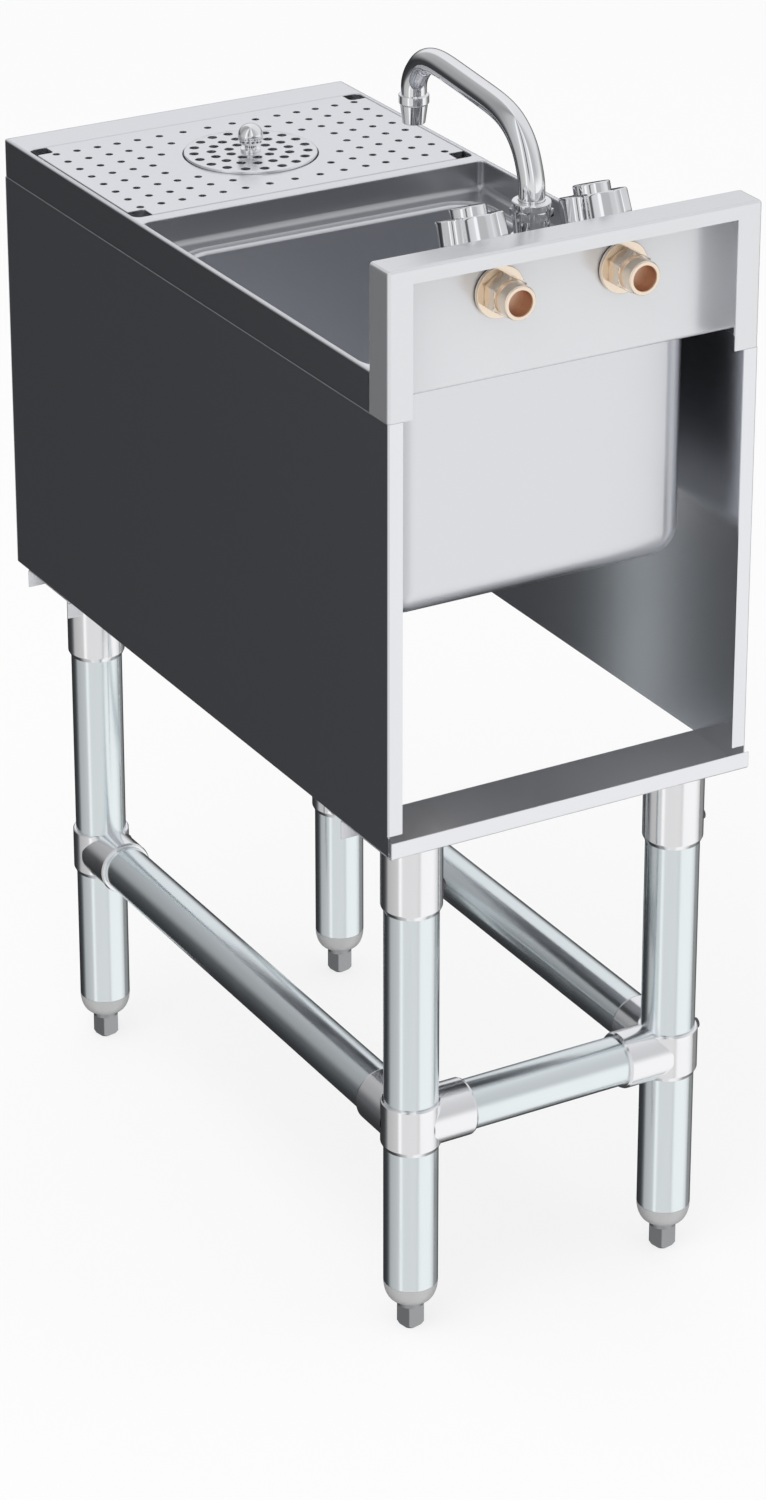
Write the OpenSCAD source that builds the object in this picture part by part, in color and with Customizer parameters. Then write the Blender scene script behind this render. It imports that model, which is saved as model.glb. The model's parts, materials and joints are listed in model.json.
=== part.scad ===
// Cocktail station: a narrow underbar unit with a glass rinser, a sink bowl and a two handle faucet.
// Millimetres. X runs across the body, Y from the front skirt to the backsplash, Z up from the floor.

/* [Body] */
// Width of the body over its side panels
body_w = 304.8; // [292:0.1:380]
// Depth of the body from the front skirt to the back edge
body_d = 609.6; // [560:0.1:700]
// Height of the working rim above the floor
rim_h = 781; // [700:1:950]
// Height of the skirt below the rim
skirt_h = 31; // [28:0.5:50]
// Height of the lower panels below the skirt
panel_h = 331.5; // [300:0.5:400]
// Width of the rim beside the plate and the sink well
rim_w = 4.4; // [3:0.1:10]
// Thickness of the sheet steel
sheet = 1.2; // [0.8:0.1:2]
// Width of the inward flanges of the side panels
panel_flange_w = 12.4; // [8:0.1:16]
// Height of the panel tabs tucked behind the skirt
panel_tab_h = 18; // [10:0.5:24]
// Depth of the front panel's side returns
return_d = 16; // [8:1:30]

/* [Backsplash] */
// Height of the backsplash above the rim
splash_h = 80; // [70:1:120]
// Depth of the backsplash from its front wall to the back edge
splash_t = 27; // [24:0.5:30]
// Height of the lip along the top of the open back
splash_lip_h = 12; // [6:0.5:16]
// Width of the upright flanges beside the open back
splash_flange_w = 20; // [10:0.5:24]

/* [Rinser tray] */
// Depth of the flat landing in front of the tray
landing_d = 34.8; // [20:0.1:60]
// Length of the tray from front to back
tray_d = 185; // [180:1:240]
// Depth of the tray below the rim
tray_h = 24; // [20:0.5:28]
// Corner radius of the tray
tray_r = 6; // [3:0.5:10]
// Width of the bridge between the tray and the sink well
bridge_d = 12; // [8:0.5:30]
// Diameter of the tray's drain tail
tray_tail_od = 25.4; // [20:0.1:32]

/* [Perforated plate] */
// Thickness of the perforated plate
plate_t = 1.5; // [1:0.1:2.5]
// Gap between the plate and the tray walls
plate_gap = 0.5; // [0.3:0.1:1.5]
// Side of the finger notches at the plate's corners
notch_w = 14; // [8:0.5:18]
// Diameter of the plate's drain holes
plate_hole_d = 6; // [3:0.1:8]
// Number of hole rows from front to back
plate_rows = 8; // [4:1:10]
// Spacing of the hole rows
plate_row_pitch = 20.6; // [14:0.1:21]
// Radius about the rinser that is left without plate holes
plate_clear_r = 66; // [60:0.5:80]

/* [Glass rinser] */
// Diameter of the press disc
disc_d = 104.5; // [90:0.5:110]
// Thickness of the press disc
disc_t = 3; // [2:0.1:4]
// Height of the press disc above the plate
disc_proud = 2; // [1:0.1:4]
// Diameter of the press disc's holes
disc_hole_d = 7.5; // [4:0.1:8]
// Travel of the press disc
press_travel = 5; // [3:0.5:5]
// Diameter of the spray nozzle's dome
nozzle_d = 20; // [14:0.5:26]
// Outer diameter of the valve's threaded tail
rinser_tail_od = 26; // [22:0.5:32]
// Outer diameter of the rinser's inlet thread
rinser_inlet_od = 20.9; // [16:0.1:22]

/* [Sink] */
// Depth of the well below the rim
well_h = 24; // [20:0.5:28]
// Radius of the well's front corners
well_front_r = 5; // [2:0.5:20]
// Radius of the well's rear corners
well_rear_r = 22; // [6:0.5:24]
// Width of the ledge in front of the bowl
ledge_front_w = 18; // [12:0.5:30]
// Width of the ledge beside the bowl
ledge_side_w = 20.5; // [14:0.5:30]
// Width of the ledge behind the bowl
ledge_rear_w = 17.8; // [12:0.1:30]
// Depth of the bowl below the ledge
bowl_h = 182; // [120:1:200]
// Radius of the bowl's corners and bottom edges
bowl_r = 24; // [10:0.5:40]
// Outer diameter of the sink's tailpiece
tailpiece_od = 38.1; // [36:0.1:40]

/* [Faucet] */
// Distance between the two inlet centres
inlet_centres = 101.6; // [96:0.1:120]
// Height of the inlets above the rim
inlet_h = 41; // [38:0.5:50]
// Distance from the backsplash wall to the spout's axis
faucet_reach = 36.8; // [34:0.1:50]
// Outer diameter of the spout tube
spout_od = 19; // [16:0.1:20]
// Rise of the spout's straight riser above the swivel
spout_rise = 19.7; // [14:0.1:40]
// Bend radius at the top of the riser
spout_r1 = 48; // [36:0.5:60]
// Length of the straight run between the bends
spout_run = 91.5; // [60:0.5:140]
// Upward slope of the straight run in degrees
spout_slope = 6; // [0:0.5:12]
// Bend radius above the outlet
spout_r2 = 28; // [22:0.5:36]
// Outer diameter of the aerator
aerator_d = 22.5; // [21:0.1:26]
// Diameter across the bottom of a handle
knob_d = 52; // [50:0.5:54]
// Diameter across the top of a handle's petals
knob_top_d = 49; // [46:0.5:50]
// Number of petals on a handle
knob_petals = 4; // [4:1:6]
// Forward lean of the handles in degrees
handle_lean = 20; // [0:1:20]
// Bore of the inlet adapters
inlet_bore_d = 19.7; // [16:0.1:20]

/* [Legs] */
// Diameter of the leg tubes
leg_od = 41.3; // [38:0.1:44]
// Wall of the leg and brace tubes
tube_wall = 1.6; // [1.2:0.1:2.5]
// Diameter of the brace tubes
brace_od = 38.1; // [30:0.1:38.5]
// Inset of the leg axes from the side panels
leg_inset_x = 39.4; // [32:0.1:60]
// Inset of the front leg axes from the front skirt
leg_inset_front = 62.2; // [50:0.1:80]
// Inset of the rear leg axes from the back edge
leg_inset_rear = 34.4; // [32:0.1:60]
// Outer diameter of the leg sockets and tees
socket_od = 46; // [45:0.1:50]
// Length of the leg sockets under the body
socket_h = 65.3; // [40:0.1:90]
// Height of the brace axes above the floor
brace_z = 174.5; // [150:0.5:260]
// Height of the tee sleeves
tee_h = 39; // [38:0.5:60]
// Reach of the tee sockets from the leg axis
tee_reach = 46; // [38:0.5:70]
// Outer diameter of the tee sockets
tee_socket_od = 44; // [41:0.1:44]
// Height of the tube ends above the floor
tube_z = 39; // [34:0.5:60]
// Adjustment of the levelling feet
foot_travel = 25; // [10:1:30]
// Side of the square shank of a levelling foot
foot_side = 15; // [12:0.5:18]

/* [Hidden] */
$fn = 96;

// Overrun of every cut past the face it opens
over = 1;
// Clearance of welded and screwed pieces round each other
fit_gap = 0.1;
// Clearance between pieces that move past each other
move_gap = 0.3;
// Radial clearance of a turning or sliding fit
run_gap = 0.05;

// Sizes of the inlet stack behind the backsplash wall
gasket_t = 2;
gasket_d = 38;
washer_t = 3.5;
washer_d = 39;
adapter_af = 27.5;
adapter_hex_l = 13.5;
adapter_collar_l = 13;
adapter_collar_d = 25.8;
adapter_groove = 0.9;
shank_d = 20.9;
shank_bore_d = 12;
inlet_stack = gasket_t + washer_t + adapter_hex_l + adapter_collar_l;

// Planes of the body
overhang = max(0, sheet + inlet_stack - splash_t);
front_y = -(body_d + overhang) / 2;
rear_y = front_y + body_d;
half_w = body_w / 2;
well_half_w = half_w - rim_w;
skirt_z = rim_h - skirt_h;
panel_z = skirt_z - panel_h;
top_z = rim_h + splash_h;
wall_y = rear_y - splash_t;
tray_y0 = front_y + landing_d;
tray_y1 = tray_y0 + tray_d;
tray_mid_y = (tray_y0 + tray_y1) / 2;
tray_floor_z = rim_h - tray_h;
well_y0 = tray_y1 + bridge_d;
ledge_z = rim_h - well_h;
bowl_w = 2 * (well_half_w - ledge_side_w);
bowl_y0 = well_y0 + ledge_front_w;
bowl_y1 = wall_y - ledge_rear_w;
bowl_d = bowl_y1 - bowl_y0;
bowl_mid_y = (bowl_y0 + bowl_y1) / 2;
bowl_floor_z = ledge_z - bowl_h;

// Channels under the body
channel_t = 1.2;
channel_lip_h = 14.8;
rear_channel_proud = 5.2;
rear_channel_d = 74.4;
front_channel_setback = 20;
front_channel_d = 73;
rear_lip_up_h = 12.5;
flange_cut_h = 15.5;
channel_notch_gap = 3;
channel_bottom_z = panel_z - channel_t;

// Leg places
leg_x = half_w - leg_inset_x;
leg_front_y = front_y + leg_inset_front;
leg_rear_y = rear_y - leg_inset_rear;
socket_z = channel_bottom_z - socket_h;
socket_chamfer = 2;
socket_chamfer_h = 4;
tee_wall = (socket_od - leg_od) / 2;
tube_top_gap = 4;
screw_d = 8;
screw_l = 6;
screw_socket_af = 4;
screw_drop = 14;
rear_screw_rise = 13;

// Levelling feet
foot_chamfer = 1.8;
foot_corner_cut = 0.4;
foot_shank_h = 18;
foot_collar_h = 4.5;
foot_collar_d = 22.2;
foot_turn = 11.4;
foot_rod_d = 12;
foot_rod_grip = 18;
insert_low_z = 23;
insert_low_d = 24;
insert_plug_h = 26;

// Perforated plate
plate_hole_column_shares = [0, 0.149, 0.291, 0.422, 0.543, 0.659, 0.78, 0.901];
notch_r = 3;
plate_skirt_gap = 2;
disc_gap = 1;
disc_ring_counts = [19, 15, 9];
disc_ring_shares = [0.856, 0.588, 0.33];
disc_r = disc_d / 2;
disc_bottom_z = rim_h + disc_proud - disc_t;
disc_wall_w = 2.6;
disc_lip_t = 1.2;
disc_lip_reach = 3.5;
disc_floor_gap = 4;

// Rinser valve
valve_flange_d = 52;
valve_flange_t = 3;
valve_barrel_d = 34;
valve_tail_h = 44;
stem_d = 12;
stem_collar_d = 18;
stem_collar_h = 3;
stem_bore_d = 5;
chamber_d = 20;
chamber_cap = 5;
chamber_floor = 4;
spring_wire = 1.6;
spring_turns = 7;
spring_r = 7.6;
spring_sides = 6;
spring_steps = 8;
valve_washer_t = 3;
valve_washer_d = 44;
valve_nut_af = 38;
valve_nut_h = 9;
rinser_inlet_af = 24;
rinser_inlet_hex_h = 7;
rinser_inlet_l = 21;
rinser_bore_d = 10;
nozzle_neck_d = 9;
nozzle_neck_h = 4;
nozzle_foot_d = 16;
nozzle_foot_h = 2;
nozzle_jets = 6;
nozzle_jet_d = 1.4;
nozzle_height_share = 0.8;

// Neck that is turned down under the nut of each outlet, and how far it shows below the nut
neck_cut = 0.2;
neck_show = 0.5;

// Tray drain
tray_drain_x_share = 0.48;
tray_drain_flange_d = 40;
tray_drain_flange_t = 1.6;
tray_tail_h = 48;
tray_nut_af = 36;
tray_nut_h = 8;
tray_washer_t = 2;

// Sink drain
drain_flange_d = 76;
drain_flange_t = 2.6;
drain_tail_od = 44.4;
drain_tail_h = 29;
drain_recess_d = 56;
drain_recess_h = 1.6;
drain_gasket_t = 3;
drain_gasket_d = 70;
drain_nut_af = 60;
drain_nut_h = 8;
tail_nut_af = 52;
tail_nut_h = 16;
tail_nut_floor = 4;
tailpiece_l = 24;
tailpiece_flange_t = 2;
tailpiece_flange_d = 42;
strainer_t = 1.6;
strainer_holes = 12;
strainer_hole_d = 4;
strainer_ring_shares = [0.74, 0.46];
strainer_post_d = 8;
strainer_post_h = 12;

// Faucet body
faucet_z = rim_h + inlet_h;
faucet_y = wall_y - faucet_reach;
bar_d = 20;
bar_end_h = 6;
barrel_d = 28;
barrel_below = 6;
barrel_above = 16;
valve_lever = 44;
valve_back = valve_lever * sin(handle_lean);
hub_d = 31;
hub_below = 16;
hub_above = 20;
neck_d = 23.4;
neck_h = 14.5;
pivot_d = 14;
pivot_h = 22;
arm_d = 24;
escutcheon_d = 50;
escutcheon_t = 6;
escutcheon_edge = 2;
wall_hole_d = 23;
bonnet_d = 24;
bonnet_h = 10;
stem_rod_d = 8;
stem_rod_below = 3;

// Handles
knob_turn = -17;
knob_h = 36;
knob_skirt_h = 2;
knob_cap_d = 27;
knob_cap_h = 7;
knob_cap_chamfer = 1.5;
knob_flute_d = 18;
knob_flute_share = 1.02;
knob_recess_d = 29.2;
knob_recess_h = 14;
stem_rod_above = knob_h - knob_cap_h;

// Spout
spout_bore_d = 15;
spout_pivot_gap = 1;
pivot_bore_d = 8;
joint_lap = 0.6;
joint_step = 0.04;
collar_d = 22.6;
collar_h = 3;
nut_af_top = 28.6;
nut_d_low = 25.8;
nut_h = 26;
nut_lip = 5.5;
ring_wire = 1.8;
outlet_drop = 6;
aerator_h = 22;
aerator_lip = 3;
aerator_bore_d = 17;
aerator_waist_d = 20.5;
aerator_band_h = 8;
hub_top_z = faucet_z + hub_above;
neck_top_z = hub_top_z + neck_h;
swivel_z = neck_top_z + move_gap;
spout_bend_z = swivel_z + spout_rise;
spout_turn1 = 90 - spout_slope;
spout_turn2 = 90 + spout_slope;
run_y0 = faucet_y - spout_r1 + spout_r1 * cos(spout_turn1);
run_z0 = spout_bend_z + spout_r1 * sin(spout_turn1);
run_y1 = run_y0 - spout_run * cos(spout_slope);
run_z1 = run_z0 + spout_run * sin(spout_slope);
bend_y = run_y1 - spout_r2 * sin(spout_slope);
bend_z = run_z1 - spout_r2 * cos(spout_slope);
outlet_y = bend_y - spout_r2;
outlet_z = bend_z - outlet_drop;

steel = "lightsteelblue";
dark_steel = "slategray";
tube_steel = "lightblue";
chrome = "gainsboro";
brass = "burlywood";
rubber = "dimgray";

// Box between two corners
module block(x0, x1, y0, y1, z0, z1) {
    translate([x0, y0, z0]) cube([x1 - x0, y1 - y0, z1 - z0]);
}

// Rectangle with round corners, centred, with true arcs
module round_rect(w, d, r) {
    square([w - 2 * r, d], center = true);
    square([w, d - 2 * r], center = true);
    for (sx = [-1, 1], sy = [-1, 1]) {
        translate([sx * (w / 2 - r), sy * (d / 2 - r)]) circle(r = r);
    }
}

// Rectangle from y0 to y1 with one radius at its front corners and another at its rear corners
module two_radius_rect(half, y0, y1, r0, r1) {
    r = max(r0, r1);
    translate([-half, y0 + r]) square([2 * half, y1 - y0 - 2 * r]);
    translate([-half + r0, y0]) square([2 * (half - r0), r]);
    translate([-half + r1, y1 - r]) square([2 * (half - r1), r]);
    translate([-half, y0 + r0]) square([2 * half, r]);
    translate([-half, y1 - r1 - r]) square([2 * half, r]);
    for (s = [-1, 1]) {
        translate([s * (half - r0), y0 + r0]) circle(r = r0);
        translate([s * (half - r1), y1 - r1]) circle(r = r1);
    }
}

// Tub with round upright corners and a round bottom edge, its open top at z = 0
module tub(w, d, h, r) {
    translate([0, 0, r - h]) linear_extrude(h - r) round_rect(w, d, r);
    translate([0, 0, -h]) linear_extrude(r) square([w - 2 * r, d - 2 * r], center = true);
    for (sy = [-1, 1]) {
        translate([-w / 2 + r, sy * (d / 2 - r), r - h]) rotate([0, 90, 0]) cylinder(r = r, h = w - 2 * r);
    }
    for (sx = [-1, 1]) {
        translate([sx * (w / 2 - r), -d / 2 + r, r - h]) rotate([-90, 0, 0]) cylinder(r = r, h = d - 2 * r);
        for (sy = [-1, 1]) {
            translate([sx * (w / 2 - r), sy * (d / 2 - r), r - h]) sphere(r = r);
        }
    }
}

// Round bar from z0 to z1
module post(d, z0, z1) {
    translate([0, 0, z0]) cylinder(d = d, h = z1 - z0);
}

// Hexagon bar from z0 to z1 by its width across flats
module hex_bar(af, z0, z1) {
    translate([0, 0, z0]) cylinder(d = af / cos(30), h = z1 - z0, $fn = 6);
}

// Turns a child that points up so that it points towards the rear
module to_rear() {
    rotate([-90, 0, 0]) children();
}

module deck() {
    color(steel) {
        translate([0, 0, rim_h - sheet]) linear_extrude(sheet) difference() {
            translate([-half_w, front_y]) square([body_w, wall_y - front_y]);
            translate([0, tray_mid_y]) round_rect(2 * well_half_w, tray_d, tray_r);
            two_radius_rect(well_half_w, well_y0, wall_y + 2 * well_rear_r, well_front_r, well_rear_r);
        }
        block(-half_w, half_w, front_y, front_y + sheet, skirt_z, rim_h - sheet);
        for (s = [-1, 1]) {
            x = s * (half_w - sheet / 2);
            block(x - sheet / 2, x + sheet / 2, front_y + sheet, wall_y, skirt_z, rim_h - sheet);
        }
    }
}

module backsplash() {
    color(steel) difference() {
        union() {
            block(-half_w, half_w, wall_y, wall_y + sheet, rim_h - sheet, top_z);
            block(-half_w, half_w, wall_y + sheet, rear_y, top_z - sheet, top_z);
            block(-half_w, half_w, rear_y - sheet, rear_y, top_z - splash_lip_h, top_z - sheet);
            for (s = [-1, 1]) {
                x = s * (half_w - sheet / 2);
                block(x - sheet / 2, x + sheet / 2, wall_y + sheet, rear_y, skirt_z, top_z - sheet);
                block(x - sheet / 2, x + sheet / 2, wall_y, wall_y + sheet, skirt_z, rim_h - sheet);
                xf = s * (half_w - splash_flange_w / 2);
                block(xf - splash_flange_w / 2, xf + splash_flange_w / 2, rear_y - sheet, rear_y,
                    skirt_z, top_z - splash_lip_h);
            }
        }
        for (s = [-1, 1]) {
            translate([s * inlet_centres / 2, wall_y - over, faucet_z]) to_rear()
                cylinder(d = wall_hole_d, h = sheet + 2 * over);
        }
    }
}

module drip_pan() {
    color(steel) difference() {
        translate([0, tray_mid_y, tray_floor_z - sheet]) linear_extrude(tray_h)
            round_rect(2 * (well_half_w + sheet), tray_d + 2 * sheet, tray_r + sheet);
        translate([0, tray_mid_y, tray_floor_z]) linear_extrude(tray_h + over)
            round_rect(2 * well_half_w, tray_d, tray_r);
        translate([0, tray_mid_y, tray_floor_z - sheet - over])
            cylinder(d = rinser_tail_od + 2 * fit_gap, h = sheet + 2 * over);
        translate([tray_drain_x, tray_mid_y, tray_floor_z - sheet - over])
            cylinder(d = tray_tail_od + 2 * fit_gap, h = sheet + 2 * over);
    }
}

module sink_well() {
    color(steel) difference() {
        translate([0, 0, ledge_z - sheet]) linear_extrude(well_h)
            two_radius_rect(well_half_w + sheet, well_y0 - sheet, wall_y + sheet,
                well_front_r + sheet, well_rear_r + sheet);
        translate([0, 0, ledge_z]) linear_extrude(well_h)
            two_radius_rect(well_half_w, well_y0, wall_y, well_front_r, well_rear_r);
        translate([0, bowl_mid_y, ledge_z - sheet - over]) linear_extrude(sheet + 2 * over)
            round_rect(bowl_w, bowl_d, bowl_r);
    }
}

module sink_bowl() {
    color(steel) difference() {
        translate([0, bowl_mid_y, ledge_z - sheet])
            tub(bowl_w + 2 * sheet, bowl_d + 2 * sheet, bowl_h, bowl_r + sheet);
        translate([0, bowl_mid_y, ledge_z - sheet]) {
            tub(bowl_w, bowl_d, bowl_h - sheet, bowl_r);
            linear_extrude(over) round_rect(bowl_w, bowl_d, bowl_r);
        }
        translate([0, bowl_mid_y, bowl_floor_z - 2 * sheet - over])
            cylinder(d = drain_tail_od + 2 * fit_gap, h = 3 * sheet + over);
    }
}

// Side panel on the +X side with its rear flange, bottom flange and top tab
module side_panel() {
    x1 = half_w;
    x0 = half_w - sheet;
    tab_x1 = x0 - fit_gap;
    y0 = front_y + sheet;
    block(x0, x1, y0, rear_y, panel_z, skirt_z);
    block(x1 - panel_flange_w, x0, rear_y - sheet, rear_y, panel_z + flange_cut_h, skirt_z);
    block(x1 - panel_flange_w, x0, y0 + return_d, rear_y - splash_t, panel_z, panel_z + sheet);
    block(tab_x1 - sheet, tab_x1, y0 + return_d, wall_y, skirt_z - panel_tab_h, skirt_z + panel_tab_h);
    block(tab_x1 - sheet, x0, y0 + return_d, wall_y, skirt_z - panel_tab_h, skirt_z - panel_tab_h + sheet);
}

module side_panel_right() {
    color(dark_steel) side_panel();
}

module side_panel_left() {
    color(dark_steel) mirror([1, 0, 0]) side_panel();
}

module front_panel() {
    tab_y0 = front_y + sheet + fit_gap;
    color(steel) {
        block(-half_w, half_w, front_y, front_y + sheet, panel_z, skirt_z);
        block(-half_w + 2 * sheet, half_w - 2 * sheet, tab_y0, tab_y0 + sheet,
            skirt_z - panel_tab_h, skirt_z + panel_tab_h);
        block(-half_w + 2 * sheet, half_w - 2 * sheet, front_y + sheet, tab_y0 + sheet,
            skirt_z - panel_tab_h, skirt_z - panel_tab_h + sheet);
        block(-half_w + return_d, half_w - return_d, front_y + sheet,
            front_y + front_channel_setback + return_d,
            panel_z, panel_z + sheet);
        for (s = [-1, 1]) {
            x = s * (half_w - sheet - fit_gap - sheet / 2);
            block(x - sheet / 2, x + sheet / 2, front_y + sheet, front_y + return_d,
                panel_z, skirt_z - panel_tab_h);
        }
    }
}

module front_channel() {
    y0 = front_y + front_channel_setback;
    y1 = y0 + front_channel_d;
    lip_z = channel_bottom_z - channel_lip_h;
    color(steel) difference() {
        union() {
            block(-half_w, half_w, y0, y1, channel_bottom_z, panel_z);
            block(-half_w, half_w, y0, y0 + channel_t, lip_z, channel_bottom_z);
            block(-half_w, half_w, y1 - channel_t, y1, lip_z, channel_bottom_z);
        }
        for (s = [-1, 1]) {
            x = s * leg_x;
            notch = socket_od / 2 + channel_notch_gap;
            block(x - notch, x + notch, leg_front_y, y1 + over, lip_z - over, channel_bottom_z);
        }
    }
}

module rear_channel() {
    y1 = rear_y + rear_channel_proud;
    y0 = y1 - rear_channel_d;
    color(steel) {
        block(-half_w, half_w, y0, y1, channel_bottom_z, panel_z);
        block(-half_w, half_w, y0, y0 + channel_t, channel_bottom_z - channel_lip_h, channel_bottom_z);
        block(-half_w, half_w, y1 - channel_t, y1, panel_z, panel_z + rear_lip_up_h);
    }
}

// Places a child at the leg of side sx (+1 right, -1 left) and end sy (-1 front, +1 rear)
module at_leg(sx, sy) {
    translate([sx * leg_x, sy < 0 ? leg_front_y : leg_rear_y, 0]) children();
}

// Turn about Z of the set screws, which all point to the left side
screw_turn = 180;

// Turn about Z of the rear tees' set screws, clear of the two brace sockets
function rear_screw_turn(sx) = sx > 0 ? -135 : screw_turn;

module leg_sockets() {
    color(steel) for (sx = [-1, 1], sy = [-1, 1]) at_leg(sx, sy) difference() {
        rotate_extrude() polygon([
            [leg_od / 2 + fit_gap, socket_z],
            [socket_od / 2 - socket_chamfer, socket_z],
            [socket_od / 2, socket_z + socket_chamfer_h],
            [socket_od / 2, channel_bottom_z],
            [leg_od / 2 + fit_gap, channel_bottom_z]]);
        translate([0, 0, socket_z + screw_drop]) rotate([0, 0, screw_turn]) rotate([0, 90, 0])
            post(screw_d + 2 * fit_gap, leg_od / 2 - over, socket_od / 2 + over);
    }
}

module leg_tube() {
    color(tube_steel) difference() {
        post(leg_od, tube_z, channel_bottom_z - tube_top_gap);
        post(leg_od - 2 * tube_wall, tube_z - over, channel_bottom_z - tube_top_gap + over);
    }
}

module leg_front_right() {
    at_leg(1, -1) leg_tube();
}

module leg_front_left() {
    at_leg(-1, -1) leg_tube();
}

module leg_rear_right() {
    at_leg(1, 1) leg_tube();
}

module leg_rear_left() {
    at_leg(-1, 1) leg_tube();
}

// Tee fitting round a leg at z = brace_z; turns lists the directions of its brace sockets,
// and the set screw points to screw_turn at screw_rise over their axes
module tee(turns, screw_turn, screw_rise) {
    low = -tee_h / 2;
    blind = leg_od / 2 + tee_wall;
    color(steel) translate([0, 0, brace_z]) difference() {
        union() {
            rotate_extrude() polygon([
                [0, low],
                [socket_od / 2 - socket_chamfer, low],
                [socket_od / 2, low + socket_chamfer_h],
                [socket_od / 2, -low - socket_chamfer / 2],
                [socket_od / 2 - socket_chamfer / 2, -low],
                [0, -low]]);
            for (a = turns) rotate([0, 0, a]) rotate([0, 90, 0]) rotate_extrude() polygon([
                [0, 0],
                [tee_socket_od / 2, 0],
                [tee_socket_od / 2, tee_reach - socket_chamfer],
                [tee_socket_od / 2 - socket_chamfer / 2, tee_reach],
                [0, tee_reach]]);
        }
        post(leg_od + 2 * fit_gap, -tee_socket_od, tee_socket_od);
        for (a = turns) rotate([0, 0, a]) rotate([0, 90, 0])
            post(brace_od + 2 * fit_gap, blind, tee_reach + over);
        translate([0, 0, screw_rise]) rotate([0, 0, screw_turn]) rotate([0, 90, 0])
            post(screw_d + 2 * fit_gap, leg_od / 2 - over, leg_od / 2 + 2 * screw_l);
    }
}

module tee_front_right() {
    at_leg(1, -1) tee([90], screw_turn, 0);
}

module tee_front_left() {
    at_leg(-1, -1) tee([90], screw_turn, 0);
}

module tee_rear_right() {
    at_leg(1, 1) tee([-90, 180], rear_screw_turn(1), rear_screw_rise);
}

module tee_rear_left() {
    at_leg(-1, 1) tee([-90, 0], rear_screw_turn(-1), rear_screw_rise);
}

// Brace tube along +X from its own origin
module brace_tube(l) {
    color(tube_steel) rotate([0, 90, 0]) difference() {
        post(brace_od, 0, l);
        post(brace_od - 2 * tube_wall, -over, l + over);
    }
}

brace_end = leg_od / 2 + tee_wall + move_gap;

module side_brace(sx) {
    translate([sx * leg_x, leg_front_y + brace_end, brace_z]) rotate([0, 0, 90])
        brace_tube(leg_rear_y - leg_front_y - 2 * brace_end);
}

module brace_right() {
    side_brace(1);
}

module brace_left() {
    side_brace(-1);
}

module brace_rear() {
    translate([-leg_x + brace_end, leg_rear_y, brace_z]) brace_tube(2 * (leg_x - brace_end));
}

// Set screw along +X with a hexagon socket, its tip resting on the leg tube
module set_screw() {
    tip = leg_od / 2 + fit_gap / 2;
    rotate([0, 90, 0]) difference() {
        post(screw_d, tip, tip + screw_l);
        hex_bar(screw_socket_af, tip + screw_l / 2, tip + screw_l + over);
    }
}

module set_screws() {
    color(dark_steel) {
        for (sx = [-1, 1], sy = [-1, 1]) at_leg(sx, sy) {
            translate([0, 0, socket_z + screw_drop]) rotate([0, 0, screw_turn]) set_screw();
        }
        for (sx = [-1, 1]) {
            at_leg(sx, -1) translate([0, 0, brace_z]) rotate([0, 0, screw_turn]) set_screw();
            at_leg(sx, 1) translate([0, 0, brace_z + rear_screw_rise])
                rotate([0, 0, rear_screw_turn(sx)]) set_screw();
        }
    }
}

// Quarter arc of an ellipse from (r0, z0) out to (r1, z1) as outline points
function swell(r0, r1, z0, z1) = [for (a = [0:15:90]) [r0 + (r1 - r0) * sin(a), z1 - (z1 - z0) * cos(a)]];

module foot_inserts() {
    bore = foot_rod_d / 2 + run_gap;
    plug = leg_od / 2 - tube_wall - fit_gap;
    color("silver") for (sx = [-1, 1], sy = [-1, 1]) at_leg(sx, sy) rotate_extrude() polygon(concat(
        [[bore, insert_low_z]],
        swell(insert_low_d / 2, leg_od / 2, insert_low_z, tube_z),
        [[plug, tube_z], [plug, tube_z + insert_plug_h], [bore, tube_z + insert_plug_h]]));
}

// Levelling foot: a square shank with a turned end, a collar and a threaded rod
module foot() {
    end_r = foot_side / sqrt(2) - foot_corner_cut;
    color(dark_steel) {
        intersection() {
            rotate([0, 0, foot_turn]) translate([0, 0, foot_shank_h / 2])
                cube([foot_side, foot_side, foot_shank_h], center = true);
            rotate_extrude() polygon([
                [0, 0],
                [end_r - foot_chamfer, 0],
                [end_r, foot_chamfer],
                [end_r, foot_shank_h + over],
                [0, foot_shank_h + over]]);
        }
        translate([0, 0, foot_shank_h]) cylinder(d1 = 2 * end_r, d2 = foot_collar_d, h = foot_collar_h);
        post(foot_rod_d, foot_chamfer, insert_low_z + foot_rod_grip + foot_travel);
    }
}

module foot_front_right() {
    at_leg(1, -1) foot();
}

module foot_front_left() {
    at_leg(-1, -1) foot();
}

module foot_rear_right() {
    at_leg(1, 1) foot();
}

module foot_rear_left() {
    at_leg(-1, 1) foot();
}

// Outline of the perforated plate with its finger notches
module plate_outline(half, d) {
    difference() {
        square([2 * half, d], center = true);
        for (sx = [-1, 1], sy = [-1, 1]) {
            translate([sx * half, sy * d / 2]) {
                square([2 * notch_w, 2 * (notch_w - notch_r)], center = true);
                square([2 * (notch_w - notch_r), 2 * notch_w], center = true);
                translate([-sx * (notch_w - notch_r), -sy * (notch_w - notch_r)]) circle(r = notch_r);
            }
        }
    }
}

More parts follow.
